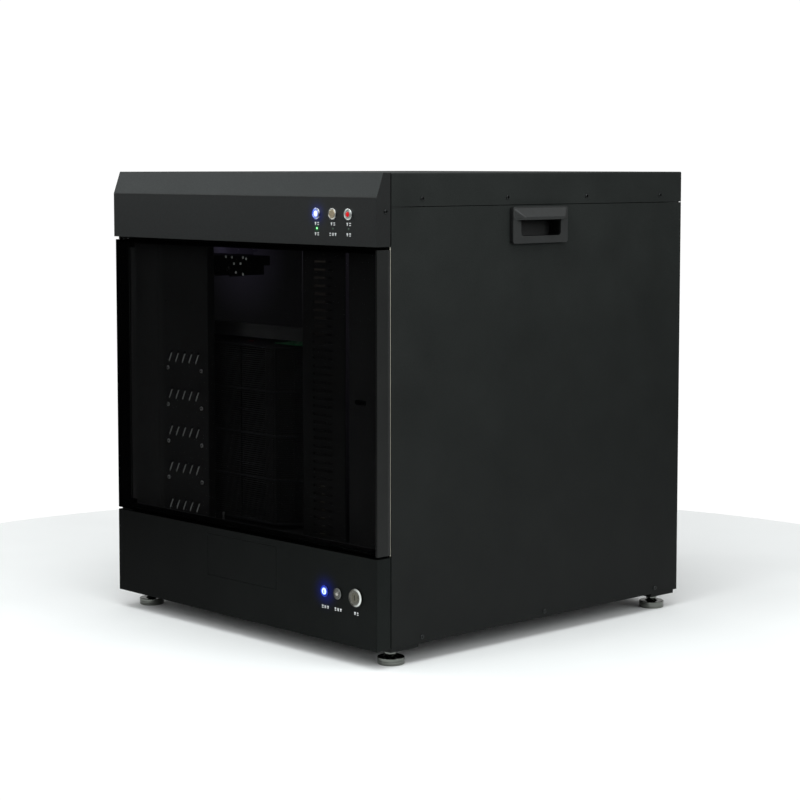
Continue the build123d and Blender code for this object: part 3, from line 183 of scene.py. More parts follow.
def powder(name, colour, rough=0.5, grain=1300, depth=0.00006, edge=0.0008, spec=0.5,
           painted_shading=(), spots=(), lit=None, gloss=None):
    """Powder coat: fine grain, faint mottling, and painted light and shade that change its tone along axes.

    Each painted_shading entry is (axis, from, to, tone at from, tone at to). Spots are painted light round
    lamps near the coat, laid on where lit allows, and gloss is its specular level where that changes over the
    surface.
    """
    m = Mat(name)
    m.set(Specular_IOR_Level=spec)
    patches = m.math("MULTIPLY", m.noise(9, 3, 0.6), 0.45)
    speckle = m.math("MULTIPLY", m.noise(700, 1), 0.55)
    tone = m.ramp(m.math("ADD", patches, speckle), [(0.3, dim(colour, 0.72)), (0.7, dim(colour, 1.28))])
    for axis, start, end, low, high in painted_shading:
        tone = m.vector("SCALE", tone, factor=m.span(m.axis(axis), low, high, start, end))
    m.feed(tone, "Base Color")
    if gloss:
        m.feed(gloss(m), "Specular IOR Level")
    if spots:
        m.spill(spots, lit(m) if lit else None)
    m.feed(m.span(m.noise(grain * 0.4, 2), rough - 0.06, rough + 0.07), "Roughness")
    m.bump(m.noise(grain, 2, 0.6), depth, 0.8, edge)
    return m.m


def plastic(name, colour, rough=0.42, grain=1500, depth=0.00003, edge=0.0005, spec=0.5):
    m = Mat(name)
    m.set(Specular_IOR_Level=spec)
    m.tint(m.noise(40, 2), colour, 0.92, 1.08)
    m.feed(m.span(m.noise(60, 3), rough - 0.05, rough + 0.06), "Roughness")
    m.bump(m.noise(grain, 1), depth, 0.7, edge)
    return m.m


def brushed(name, colour, rough=0.3, stretch=(40, 40, 1200), depth=0.00002, edge=0.0004, metallic=1.0):
    """Metal with fine parallel scratches along the axis with the smallest stretch."""
    m = Mat(name)
    m.set(Metallic=metallic)
    lines = m.noise(1, 3, 0.6, m.mapped(stretch))
    m.tint(lines, colour, 0.85, 1.1, 0.25, 0.75)
    m.feed(m.span(lines, rough - 0.08, rough + 0.1), "Roughness")
    m.bump(lines, depth, 0.6, edge)
    return m.m


def turned(name, colour, centre, rough=0.22, pitch=0.0004, edge=0.0003):
    """Metal faced on a lathe: fine rings about a centre in the front plane."""
    m = Mat(name)
    m.set(Metallic=1.0)
    v = m.mapped(location=(-centre[0], 0, -centre[1]))
    x, z = m.axis("X", v), m.axis("Z", v)
    r = m.math("SQRT", m.math("ADD", m.math("MULTIPLY", x, x), m.math("MULTIPLY", z, z)))
    rings = m.math("SINE", m.math("MULTIPLY", r, 2 * pi / pitch))
    blend = m.math("ADD", m.math("MULTIPLY", rings, 0.25), m.noise(700, 2))
    m.tint(blend, colour, 0.8, 1.1, 0.2, 0.8)
    m.feed(m.span(blend, rough - 0.06, rough + 0.1), "Roughness")
    m.bump(blend, 0.00001, 0.6, edge)
    return m.m


def glow(name, colour, strength, base=(0.8, 0.8, 0.8), rough=0.25, fade=0.25):
    """Emission that varies a little over its surface: lit lenses and lamps, and painted light on the vent
    bars, pillar glints and picker screws.
    """
    m = Mat(name)
    m.set(Base_Color=(*base, 1), Roughness=rough, Emission_Strength=strength)
    m.tint(m.noise(400, 2), colour, 1 - fade, 1, socket="Emission Color")
    m.bump(m.noise(900, 1), 0.00001, 0.4)
    return m.m


def faded(name, colour, strength, low, high, base=(0.03, 0.03, 0.03)):
    """A thin piece with painted light that fades from the height high down to low."""
    m = Mat(name)
    m.set(Roughness=0.6, Specular_IOR_Level=0.1)
    m.tint(m.noise(200, 2), base, 0.8, 1.2)
    fade = m.span(m.axis("Z"), 0.0, strength, low, high)
    m.feed(m.math("MULTIPLY", fade, m.span(m.noise(300, 2), 0.6, 1.25)), "Emission Strength")
    m.tint(m.noise(120, 2), colour, 0.9, 1, socket="Emission Color")
    return m.m


def rim_with_painted_light(name, colour, base, x, left, right):
    """A plated rim about x with painted light, emission of strength left on one side and right on the other:
    its button's glow where the colour is blue, a highlight where it is pale.
    """
    m = Mat(name)
    m.set(Metallic=1.0, Roughness=0.15)
    m.tint(m.noise(300, 2), base, 0.85, 1)
    m.feed(m.span(m.axis("X"), left, right, x - 0.009, x + 0.006), "Emission Strength")
    m.tint(m.noise(200, 2), colour, 0.85, 1, socket="Emission Color")
    return m.m


def zinc(name):
    """Galvanised sheet with a soft spangle."""
    m = Mat(name)
    m.set(Metallic=1.0)
    spangle = m.cells(160)
    m.feed(m.ramp(spangle, [(0.2, (0.36, 0.37, 0.38)), (0.8, (0.56, 0.57, 0.58))]), "Base Color")
    m.feed(m.span(spangle, 0.35, 0.55, 0.2, 0.8), "Roughness")
    m.bump(m.noise(300, 3), 0.00003, 0.5, 0.0005)
    return m.m


def board_green(name):
    """A circuit board under its green mask, with paler tracks."""
    m = Mat(name)
    tracks = m.t.nodes.new("ShaderNodeTexBrick")
    tracks.inputs["Scale"].default_value = 220
    tracks.inputs["Mortar Size"].default_value = 0.03
    tracks.inputs["Color1"].default_value = (0.012, 0.10, 0.035, 1)
    tracks.inputs["Color2"].default_value = (0.016, 0.13, 0.045, 1)
    tracks.inputs["Mortar"].default_value = (0.05, 0.26, 0.10, 1)
    m.link(m.c, tracks.inputs["Vector"])
    m.feed(tracks.outputs["Color"], "Base Color")
    m.feed(m.span(m.noise(80, 2), 0.22, 0.38), "Roughness")
    m.bump(tracks.outputs["Fac"], 0.00004, 0.5)
    return m.m


def smoked(name, colour, alpha):
    m = Mat(name)
    m.set(Alpha=alpha, IOR=1.5, Specular_IOR_Level=0.01)
    m.tint(m.noise(6, 2), colour, 0.8, 1.2)
    m.feed(m.span(m.noise(25, 3), 0.015, 0.04), "Roughness")
    return m.m


def disc_shine(name):
    """The read side of a disc: mirror with a faint spread of colours."""
    m = Mat(name)
    m.set(Metallic=1.0)
    hues = [(0.0, (0.55, 0.62, 0.78)), (0.5, (0.72, 0.70, 0.76)), (1.0, (0.60, 0.74, 0.66))]
    m.feed(m.ramp(m.cells(14, "Distance"), hues), "Base Color")
    m.feed(m.span(m.noise(50, 2), 0.08, 0.16), "Roughness")
    return m.m


def handle_look(name, colour):
    """Grained plastic, painted dark within its finger cup as shade."""
    m = Mat(name)
    cup_shade = m.span(m.math("ABSOLUTE", m.axis("X")), 0.10, 1.0, 0.3500, 0.3535)
    tone = m.ramp(m.noise(500, 2), [(0.3, dim(colour, 0.85)), (0.7, dim(colour, 1.15))])
    m.feed(m.vector("SCALE", tone, factor=cup_shade), "Base Color")
    m.feed(m.span(m.noise(60, 3), 0.45, 0.56), "Roughness")
    m.bump(m.noise(1100, 1), 0.00006, 0.7, 0.0012)
    return m.m


def screw_set(name):
    """Screw heads: black oxide on the casing, plain steel on the inner panels."""
    m = Mat(name)
    m.set(Metallic=0.85)
    side = m.math("GREATER_THAN", m.math("ABSOLUTE", m.axis("X")), 0.32)
    m.feed(m.ramp(side, [(0.0, (0.46, 0.46, 0.46)), (1.0, (0.034, 0.036, 0.036))]), "Base Color")
    m.feed(m.span(m.noise(500, 2), 0.24, 0.4), "Roughness")
    m.bump(m.noise(900, 2), 0.00001, 0.5, 0.0003)
    return m.m


def foot_look(name):
    """Nickel-plated turned steel, duller in its lathe lines."""
    m = Mat(name)
    m.set(Metallic=1.0)
    lines = m.noise(1, 3, 0.6, m.mapped((20, 20, 1500)))
    m.feed(m.ramp(lines, [(0.3, (0.10, 0.108, 0.096)), (0.7, (0.24, 0.248, 0.23))]), "Base Color")
    m.feed(m.span(m.noise(120, 3), 0.08, 0.2), "Roughness")
    m.bump(lines, 0.00001, 0.5, 0.0004)
    return m.m


def bezel_look(name):
    """Brushed rings of one steel, with painted shade: dark and warm on the fascia, pale on the hood."""
    m = Mat(name)
    m.set(Metallic=1.0)
    lines = m.noise(1, 3, 0.6, m.mapped((500, 60, 500)))
    # The fascia's rings get a darker base than the hood's: painted shade for the darker reflections low on
    # the front
    height = m.ramp(m.axis("Z"), [(0.40, (0.115, 0.112, 0.098)), (0.42, (0.72, 0.73, 0.74))])
    m.feed(m.vector("SCALE", height, factor=m.span(lines, 0.8, 1.15)), "Base Color")
    m.feed(m.span(lines, 0.12, 0.28), "Roughness")
    m.bump(lines, 0.00001, 0.6, 0.0004)
    return m.m


# The strip's light: its own colour, and the painted light with which it tints what hangs close to it and
# farther off
LILAC = (0.82, 0.74, 1.0)
STRIP_NEAR = (0.050, 0.044, 0.075)
STRIP_FAR = (0.0190, 0.0166, 0.0290)

# Where the door frame turns to its right side, which keeps some gloss; the front and inner faces are painted
# dark as shade and have none
DOOR_EDGE = (0.3425, 0.3430)


def under_strip(m):
    """The strip's painted light falls on the back of the picker's upper plate, and not on the block that
    hangs from it.
    """
    back = m.span(m.axis("Y"), 0.0, 1.0, -0.288, -0.278)
    return m.math("MULTIPLY", back, m.span(m.axis("Z"), 0.0, 1.0, 0.6395, 0.6410))


# Painted shade on the case: paler towards the top and darker towards the rear
case_black = powder("case_powder", (0.0154, 0.0172, 0.0164), spec=0.1,
                    painted_shading=(("Z", 0.03, 0.74, 0.42, 1.42), ("Y", -0.34, 0.36, 1.06, 0.86)))
# Painted shade darkens the hood's front and right end against its chamfer; painted light is a blue glow round
# the power button and a green one round its indicator
hood_black = powder("hood_powder", (0.0084, 0.0113, 0.0114), spec=0.40,
                    painted_shading=(("Y", -0.3678, -0.3670, 0.35, 1.0), ("X", 0.3450, 0.3460, 1.0, 0.3)),
                    spots=((on_front(BUTTONS[POWER]), (0.0, 0.008, 0.22), 0.036, 4.0),
                           (on_front((BUTTONS[POWER][0], INDICATOR_Z)), (0.0, 0.16, 0.03), 0.009, 2.5)))
# Painted shade darkens the fascia towards the left and painted light makes its right end paler; a painted
# blue glow lies round the start button
fascia_black = powder("fascia_powder", (0.0056, 0.0064, 0.0061), rough=0.46, spec=0.03,
                      painted_shading=(("X", -0.30, 0.30, 0.28, 1.2), ("X", 0.345, 0.346, 1.0, 1.6)),
                      spots=((on_front(BUTTONS[START]), (0.001, 0.008, 0.24), 0.046, 4.0),))
# Painted shade darkens the door frame's front and inner faces against its right side
door_black = powder("door_powder", (0.0178, 0.0185, 0.0180), rough=0.4, grain=1700, spec=0.1,
                    painted_shading=(("Y", -0.3678, -0.3668, 0.10, 1.0), ("X", *DOOR_EDGE, 0.10, 1.0)),
                    gloss=lambda m: m.span(m.axis("X"), 0.0, 0.12, *DOOR_EDGE))
# Painted light makes the panels paler at their far left
panel_black = powder("panel_powder", (0.030, 0.030, 0.030), rough=0.55, spec=0.1,
                     painted_shading=(("X", -0.252, -0.245, 1.35, 1.0),))
pillar_black = powder("pillar_powder", (0.0165, 0.0165, 0.0162), rough=0.55, spec=0.1)
inner_black = powder("inner_powder", (0.030, 0.030, 0.0305), rough=0.6, spec=0.1)
# Painted light makes the frame paler towards the left
frame_grey = powder("frame_powder", (0.085, 0.085, 0.086), rough=0.6, spec=0.1,
                    painted_shading=(("X", -0.17, 0.05, 2.0, 0.8),))
# Painted light from the strip on the partition: lilac near it, grey farther off
partition_black = powder("partition_powder", (0.010, 0.010, 0.0105), rough=0.6, spec=0.1,
                         spots=(((-0.19, -0.246, 0.668), STRIP_NEAR, 0.070, 1.4),
                                ((-0.13, -0.246, 0.64), STRIP_FAR, 0.12, 1.2),
                                ((-0.15, -0.246, 0.58), (0.0080, 0.0080, 0.0088), 0.28, 0.9)))
# Painted light from the strip on the back of the picker's upper plate
picker_black = powder("picker_black", (0.0030, 0.0030, 0.0031), rough=0.5, spec=0.05, lit=under_strip,
                      spots=(((-0.195, -0.265, 0.660), STRIP_NEAR, 0.075, 1.2),
                             ((-0.13, -0.265, 0.655), STRIP_FAR, 0.10, 0.8)))
motor_black = powder("motor_black", (0.010, 0.010, 0.0105), rough=0.38, spec=0.3)

black_plastic = plastic("black_plastic", (0.020, 0.020, 0.021))
drum_plastic = plastic("drum_plastic", (0.034, 0.034, 0.034), rough=0.5, spec=0.12)
socket_black = plastic("socket_plastic", (0.022, 0.022, 0.022), rough=0.35)
rubber = plastic("seal_foam", (0.012, 0.012, 0.012), rough=0.8, grain=500, depth=0.0002)
handle_plastic = handle_look("handle_plastic", (0.0190, 0.0202, 0.0200))
steel = brushed("ground_steel", (0.55, 0.56, 0.58), 0.28, (1200, 60, 60))
rod_steel = brushed("rod_steel", (0.55, 0.56, 0.58), 0.2, (900, 900, 8))
aluminium = brushed("aluminium", (0.66, 0.67, 0.69), 0.32, (900, 25, 900))
dark_plate = brushed("dark_plate", (0.045, 0.045, 0.05), 0.35, (30, 900, 900), metallic=0.6)
brass = brushed("brass", (0.75, 0.55, 0.25), 0.28, (900, 900, 30))
foot_steel = foot_look("foot_steel")
screw_finish = screw_set("screw_finish")
zinc_sheet = zinc("zinc_sheet")
board = board_green("board_green")
smoked_glass = smoked("smoked_glass", (0.0010, 0.0010, 0.0011), 0.42)
disc_mirror = disc_shine("disc_mirror")
strip_light = glow("strip_light", LILAC, 0.07, (0.1, 0.1, 0.1))
bezel_steel = bezel_look("bezel_steel")

looks = {
    case_black: "side_panel_left side_panel_right top_cover rear_panel foot_beams base_plate pivot_brackets",
    hood_black: "hood_shell",
    fascia_black: "lower_fascia service_cover",
    door_black: "door_frame",
    panel_black: "left_trim_panel vent_panel right_trim_panel",
    pillar_black: "slotted_pillar",
    inner_black: "inner_deck",
    frame_grey: "cabinet_frame",
    partition_black: "partition picker_rail",
    picker_black: "picker_carriage",
    motor_black: "motors",
    black_plastic: ("door_catch disc_shuttle drive_tray_1 drive_tray_2 drive_tray_3 fan_frame fan_rotor "
                    "picker_finger_left picker_finger_right"),
    drum_plastic: "magazines",
    socket_black: "rear_sockets",
    rubber: "door_seal",
    handle_plastic: "carry_handles",
    steel: "drum_bearing",
    rod_steel: "lift_rods",
    aluminium: "lift_carriage drum_spindle",
    dark_plate: "drum_plates",
    brass: "drum_pinion",
    foot_steel: "foot_front_left foot_front_right foot_rear_left foot_rear_right",
    screw_finish: "screws",
    zinc_sheet: "drive_rack drive_bodies power_supply",
    board: "circuit_boards",
    smoked_glass: "door_glass",
    disc_mirror: "stored_discs",
    strip_light: "light_strip",
    bezel_steel: "button_bezels",
    # The key's face is darker steel: painted shade for the darker reflections low on the front
    turned("key_face", (0.130, 0.124, 0.098), KEY, 0.3): "key_barrel",
}
HOOD_STEEL = ((0.60, 0.64, 0.70), (0.66, 0.55, 0.38), (0.50, 0.54, 0.52))
# The fascia's button faces are darker steel than the hood's: painted shade for the darker reflections low on
# the front
FASCIA_SHADED_STEEL = ((0.30, 0.32, 0.36), (0.115, 0.113, 0.106))
for n, (place, colour) in enumerate(zip(HOOD_BUTTONS, HOOD_STEEL), 1):
    looks[turned(f"hood_button_{n}_face", colour, place, 0.34)] = f"hood_button_{n}"
for n, (place, colour) in enumerate(zip(FASCIA_BUTTONS, FASCIA_SHADED_STEEL), 1):
    looks[turned(f"fascia_button_{n}_face", colour, place)] = f"fascia_button_{n}"
for mat, names in looks.items():
    for name in names.split():
        slots = nodes[name].data.materials
        slots.clear()
        slots.append(mat)

# Mesh pieces. TIP is the radius that closes a turned form on its axis, and SUNK the depth of a dome's foot
TIP = 0.00002
SUNK = 0.0002


def piece(name, verts, faces, mat, body="cabinet", smooth=False, slot=None):
    mesh = bpy.data.meshes.new(name)
    mesh.from_pydata([tuple(v) for v in verts], [], faces)
    mesh.validate()
    bm = bmesh.new()
    bm.from_mesh(mesh)
    bmesh.ops.recalc_face_normals(bm, faces=bm.faces)
    bm.to_mesh(mesh)
    bm.free()
    for p in mesh.polygons:
        p.use_smooth = smooth
    mesh.materials.append(mat)
    o = bpy.data.objects.new(name, mesh)
    bpy.context.scene.collection.objects.link(o)
    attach(o, body)
    return o


def lathe(profile, place, axis="-Y", turns=32):
    """Vertices and faces of a turned form. The profile is (radius, height) pairs; one that ends where it
    starts makes a ring, and any other is closed by discs."""
    verts, faces = [], []
    closed = abs(profile[0][0] - profile[-1][0]) + abs(profile[0][1] - profile[-1][1]) < 1e-9
    if closed:
        profile = profile[:-1]
    for radius, height in profile:
        for k in range(turns):
            a = 2 * pi * k / turns
            u, v = radius * cos(a), radius * sin(a)
            p = {"-Y": (u, -height, v), "+Y": (u, height, v),
                 "+X": (height, u, v), "-X": (-height, u, v)}[axis]
            verts.append(Vector(place) + Vector(p))
    rows = len(profile)
    for i in range(rows if closed else rows - 1):
        j = (i + 1) % rows
        for k in range(turns):
            n = (k + 1) % turns
            faces.append((i * turns + k, i * turns + n, j * turns + n, j * turns + k))
    if not closed:
        faces.append(tuple(reversed(range(turns))))
        faces.append(tuple((rows - 1) * turns + k for k in range(turns)))
    return verts, faces


def join(parts):
    verts, faces = [], []
    for v, f in parts:
        base = len(verts)
        verts += v
        faces += [tuple(i + base for i in face) for face in f]
    return verts, faces


def slab(x0, x1, y0, y1, z0, z1):
    v = [Vector((x, y, z)) for x in (x0, x1) for y in (y0, y1) for z in (z0, z1)]
    f = [(0, 1, 3, 2), (4, 6, 7, 5), (0, 4, 5, 1), (2, 3, 7, 6), (0, 2, 6, 4), (1, 5, 7, 3)]
    return v, f


def dome(radius, height, place, steps=6):
    angles = [pi / 2 * (1 - i / steps) for i in range(steps)]
    profile = [(radius * sin(a), height * cos(a)) for a in angles]
    return lathe([(radius, -SUNK)] + profile + [(TIP, height)], place)


def ring(radius, tube, place, rise=0.0, sides=10):
    angles = [2 * pi * i / sides for i in range(sides + 1)]
    return lathe([(radius + tube * cos(a), rise + tube * sin(a)) for a in angles], place)


def bead(x, y, z0, z1, radius, sides=10):
    """An upright round strip."""
    turns = [2 * pi * k / sides for k in range(sides)]
    verts = [Vector((x + radius * cos(a), y + radius * sin(a), z)) for z in (z0, z1) for a in turns]
    faces = [(k, (k + 1) % sides, sides + (k + 1) % sides, sides + k) for k in range(sides)]
    return verts, faces + [tuple(range(sides)), tuple(range(sides, 2 * sides))]


# Indicator lenses: the first is lit green, the others are dark
LENS = 0.0016
lens_green = glow("lens_green", (0.30, 1.0, 0.32), 1.7, (0.1, 0.6, 0.2))
lens_dark = plastic("lens_dark", (0.06, 0.10, 0.07), rough=0.2, grain=400, depth=0.00001)
lenses = []
for n, (x, _) in enumerate(HOOD_BUTTONS):
    place = (x, FRONT, INDICATOR_Z)
    body = join([lathe([(LENS, -0.006), (LENS, 0)], place), dome(LENS, 0.0006, place)])
    look = lens_green if n == 0 else lens_dark
    lenses.append(piece(f"indicator_{n + 1}", *body, look, smooth=True, slot="lens"))
for o in lenses:
    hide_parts("indicator_lenses")

# Lit rings and caps on the push buttons
blue_ring = glow("ring_blue", (0.0, 0.05, 1.0), 0.9, (0.01, 0.03, 0.2))
white_blue = glow("cap_white_blue", (0.80, 0.88, 1.0), 0.75, (0.6, 0.65, 0.7))
cyan_white = glow("cap_cyan_white", (0.72, 0.90, 1.0), 1.0, (0.3, 0.4, 0.5))
red_cap = glow("cap_red", (1.0, 0.015, 0.025), 0.45, (0.35, 0.0, 0.0))
centre_steel = turned("button_centre", (0.42, 0.41, 0.38), BUTTONS[OPEN], 0.18)
BUTTON_FACE = FRONT - 0.0028
KEYS = ("hood_key_1", "hood_key_2", "hood_key_3", "fascia_key_1", "fascia_key_2")
at = [on_front(place, BUTTON_FACE) for place in BUTTONS]
piece("hood_ring", *ring(0.0056, 0.0005, at[POWER]), blue_ring, KEYS[POWER], smooth=True)
piece("hood_cap", *dome(0.0048, 0.0004, at[POWER]), white_blue, KEYS[POWER], smooth=True)
piece("fascia_ring", *ring(0.0060, 0.0005, at[START], 0.0001), blue_ring, KEYS[START], smooth=True)
piece("fascia_cap", *dome(0.0056, 0.0004, at[START]), cyan_white, KEYS[START], smooth=True)
sx, sy, sz = at[START]
piece("fascia_stroke", *slab(sx - 0.0009, sx + 0.0009, sy - 0.0007, sy - 0.0002, sz - 0.0034, sz + 0.0018),
      blue_ring, KEYS[START])
piece("red_cap", *dome(0.0041, 0.0004, at[STOP]), red_cap, KEYS[STOP], smooth=True)
piece("fascia_centre", *dome(0.0032, 0.0005, at[OPEN]), centre_steel, KEYS[OPEN], smooth=True)

# Rounded rims over the bezels with painted light: a blue glow, brightest on the left, where a button is lit
# blue, and pale highlights elsewhere
PALE_HIGHLIGHT = (0.93, 1.0, 0.97)
BEZEL_FACE = FRONT - 0.002
LOCK_FACE = FRONT - 0.0035
RIM = [(0.0067, 0.0), (0.0070, 0.0006), (0.0079, 0.0009), (0.0087, 0.0006), (0.00915, -0.0002),
       (0.0067, 0.0)]
RIM_LOOKS = (("power_rim", (0.02, 0.14, 1.0), (0.50, 0.52, 0.54), 0.9, 0.02),
             ("home_rim", PALE_HIGHLIGHT, (0.45, 0.43, 0.38), 0.10, 0.16),
             ("stop_rim", PALE_HIGHLIGHT, (0.45, 0.48, 0.46), 0.34, 0.22),
             ("start_rim", (0.0, 0.045, 1.0), (0.02, 0.03, 0.06), 0.75, 0.35),
             ("open_rim", PALE_HIGHLIGHT, (0.04, 0.04, 0.04), 0.0, 0.13))
for place, (name, colour, base, left, right) in zip(BUTTONS, RIM_LOOKS):
    rim = lathe(RIM, on_front(place, BEZEL_FACE), turns=48)
    piece(name, *rim, rim_with_painted_light(name, colour, base, place[0], left, right), smooth=True)
# The key's rim has a painted highlight that grows towards its right
KEY_RIM = [(0.0112, -0.0004), (0.0118, 0.0003), (0.0132, 0.0005), (0.0142, 0.0002), (0.01475, -0.0008),
           (0.0112, -0.0004)]
piece("key_rim", *lathe(KEY_RIM, on_front(KEY, LOCK_FACE), turns=60),
      rim_with_painted_light("key_rim", PALE_HIGHLIGHT, (0.10, 0.098, 0.085), KEY[0] + 0.006, 0.0, 0.75), smooth=True)

# Key lock: a dark sheet in the keyway, painted shade
painted_shade_black = plastic("painted_shade_black", (0.003, 0.003, 0.003), rough=0.6, spec=0.1)
kx, kz = KEY
piece("keyway", *slab(kx - 0.0007, kx + 0.0007, FRONT - 0.0040, FRONT - 0.0036, kz - 0.0044, kz + 0.0044),
      painted_shade_black, "key")

# Vent panel: a bar of painted light behind each row of slots, which leaves the slots' upper ends dark
VENT_ROWS = (0.4598, 0.3946, 0.3297, 0.2649, 0.1992)
vent_bar_light = glow("vent_bar", (0.95, 1.0, 0.98), 0.15, (0.25, 0.25, 0.25), 0.6, 0.5)
bars = [slab(-0.243, -0.137, PANEL + 0.002, PANEL + 0.0035, z - 0.015, z + 0.0055) for z in VENT_ROWS]
piece("vent_bars", *join(bars), vent_bar_light)

# Pillar: a plate close behind the slots' left part, a dark sheet of painted shade behind their right part,
# a ledge in each slot with painted light that fades downwards, and only a painted glint in the lowest ones
SLOT_LOW, SLOT_HIGH, SLOTS, GLINTS = 0.1943, 0.6394, 35, 7
BACKING = (0.19, 0.66)
LEDGE_Y = (PANEL + 0.0010, PANEL + 0.0021)
piece("pillar_backing", *slab(0.1555, 0.1915, PANEL + 0.002, PANEL + 0.004, *BACKING), pillar_black)
piece("pillar_shade", *slab(0.1915, 0.2075, PANEL + 0.0025, PANEL + 0.004, *BACKING), painted_shade_black)
levels = [SLOT_LOW + (SLOT_HIGH - SLOT_LOW) * k / (SLOTS - 1) for k in range(SLOTS)]
ledges = [slab(0.1597, 0.1850, *LEDGE_Y, z - 0.0012, z + 0.0010) for z in levels[GLINTS:]]
piece("pillar_ledges", *join(ledges),
      faded("pillar_ledge", (1.0, 0.88, 0.74), 0.046, 0.49, 0.65, (0.014, 0.014, 0.014)))
glints = [slab(0.1730 + 0.003 * (k % 2), 0.1830, *LEDGE_Y, z - 0.0006, z + 0.0007)
          for k, z in enumerate(levels[:GLINTS])]
piece("pillar_glints", *join(glints), glow("pillar_glint", (1.0, 0.86, 0.45), 0.022, (0.03, 0.03, 0.03), 0.6))

# Lines of painted light from the strip down the pillar's edge and the groove beside it
LINE_Z = (0.18, 0.729)
piece("pillar_edge", *slab(0.1307, 0.1317, PANEL - 0.0004, PANEL + 0.002, *LINE_Z),
      faded("pillar_edge", LILAC, 0.070, 0.53, 0.70))
piece("groove_light", *slab(0.2350, 0.2355, PANEL + 0.002, PANEL + 0.0079, *LINE_Z),
      faded("groove_light", LILAC, 0.030, 0.20, 0.72, (0.010, 0.010, 0.011)))

# Weather strip on the cabinet's edge beside the door
cream = plastic("weather_strip", (0.40, 0.385, 0.32), rough=0.7, grain=600, depth=0.0001)
piece("weather_strip", *bead(0.3442, -0.3382, 0.180, 0.6675, 0.0010), cream, smooth=True, slot="seal_rubber")

# Dark sheets on the body's front edge, in the gaps above and below the door, cut back at its hinge: painted
# shade
gap_shade_black = plastic("gap_shade_sheets", (0.004, 0.004, 0.004), rough=0.9, grain=500, depth=0.0002, spec=0.1)
GAP_SHADES = ((-0.3445, -0.3110, -0.3370, -0.3352, 0.6630, 0.6680),
        (-0.3445, -0.3387, -0.3590, -0.3372, 0.6631, 0.6678),
        (-0.3387, -0.3110, -0.3432, -0.3372, 0.6631, 0.6658),
        (-0.3110, 0.3410, -0.3432, -0.3352, 0.6630, 0.6680),
        (-0.3445, -0.3110, -0.3370, -0.3352, 0.1779, 0.1811),
        (-0.3110, 0.3410, -0.3432, -0.3352, 0.1779, 0.1811))
piece("gap_shade_sheets", *join([slab(*row) for row in GAP_SHADES]), gap_shade_black, slot="seal_rubber")

# Picker: screws with painted highlights, and bearings, on its block
PICKER_Y = -0.300
BEARINGS_X, BEARINGS_Z = (-0.105, -0.135), 0.6165
screw_highlight = glow("screw_painted_highlight", (0.9, 1.0, 0.95), 0.12, (0.7, 0.7, 0.7), 0.2, 0.5)
PICKER_SCREWS = ((-0.1127, 0.6372), (-0.0962, 0.6366), (-0.0660, 0.6372), (-0.0575, 0.6352),
                 (-0.0908, 0.6258), (-0.0728, 0.6264), (-0.1492, 0.6109), (-0.0855, 0.6109),
                 (-0.0665, 0.6082))
screw_parts = [dome(0.0023, 0.0014, on_front(spot, PICKER_Y)) for spot in PICKER_SCREWS]
piece("picker_screws", *join(screw_parts), screw_highlight, "picker", smooth=True)
ROLLER = [(0.0012, 0.003), (0.0045, 0.003), (0.0048, 0.0026), (0.0048, -0.0001)]
piece("picker_bearing", *join([lathe(ROLLER, (x, PICKER_Y, BEARINGS_Z)) for x in BEARINGS_X]),
      turned("bearing_steel", (0.10, 0.10, 0.10), (BEARINGS_X[0], BEARINGS_Z), 0.25), "picker", smooth=True)

# Sensor board: dim red lamps on its front edge
lamps = [dome(0.0010, 0.0008, (x, -0.298, 0.4952)) for x in (-0.0530, -0.0480, -0.0430)]
piece("board_lamp", *join(lamps), glow("lamp_red", (1.0, 0.05, 0.08), 0.05, (0.1, 0.01, 0.01)), smooth=True)

# Screw socket marks: a dark hexagon of painted shade on every head. The side screws are (y, z), the rear ones
# z
SIDE_SCREWS = ([(y, 0.7425) for y in (-0.2705, -0.0770, 0.1165, 0.3100)]
               + [(y, 0.041) for y in (-0.270, 0.018, 0.307)] + [(-0.3494, 0.723)])
REAR_SCREWS = [0.060 + 0.655 * index / 3 for index in range(4)]
SIDE_HEAD_X = 0.34785
REAR_HEAD_X, REAR_HEAD_Y = 0.332, 0.36985
VENT_HEAD_XS, VENT_HEAD_Y, VENT_HEAD_DROP = (-0.234, -0.139), PANEL - 0.00185, 0.021


def hexagon(place, axis, radius=0.0017):
    return lathe([(TIP, 0.0), (radius, 0.0)], place, axis, 6)


socket_shades = [hexagon((side * SIDE_HEAD_X, y, z), axis)
           for y, z in SIDE_SCREWS for side, axis in ((1, "+X"), (-1, "-X"))]
socket_shades += [hexagon((side * REAR_HEAD_X, REAR_HEAD_Y, z), "+Y") for z in REAR_SCREWS for side in (-1, 1)]
socket_shades += [hexagon((x, VENT_HEAD_Y, z - VENT_HEAD_DROP), "-Y", 0.0016)
            for z in VENT_ROWS[:4] for x in VENT_HEAD_XS]
piece("screw_socket_shades", *join(socket_shades), painted_shade_black)

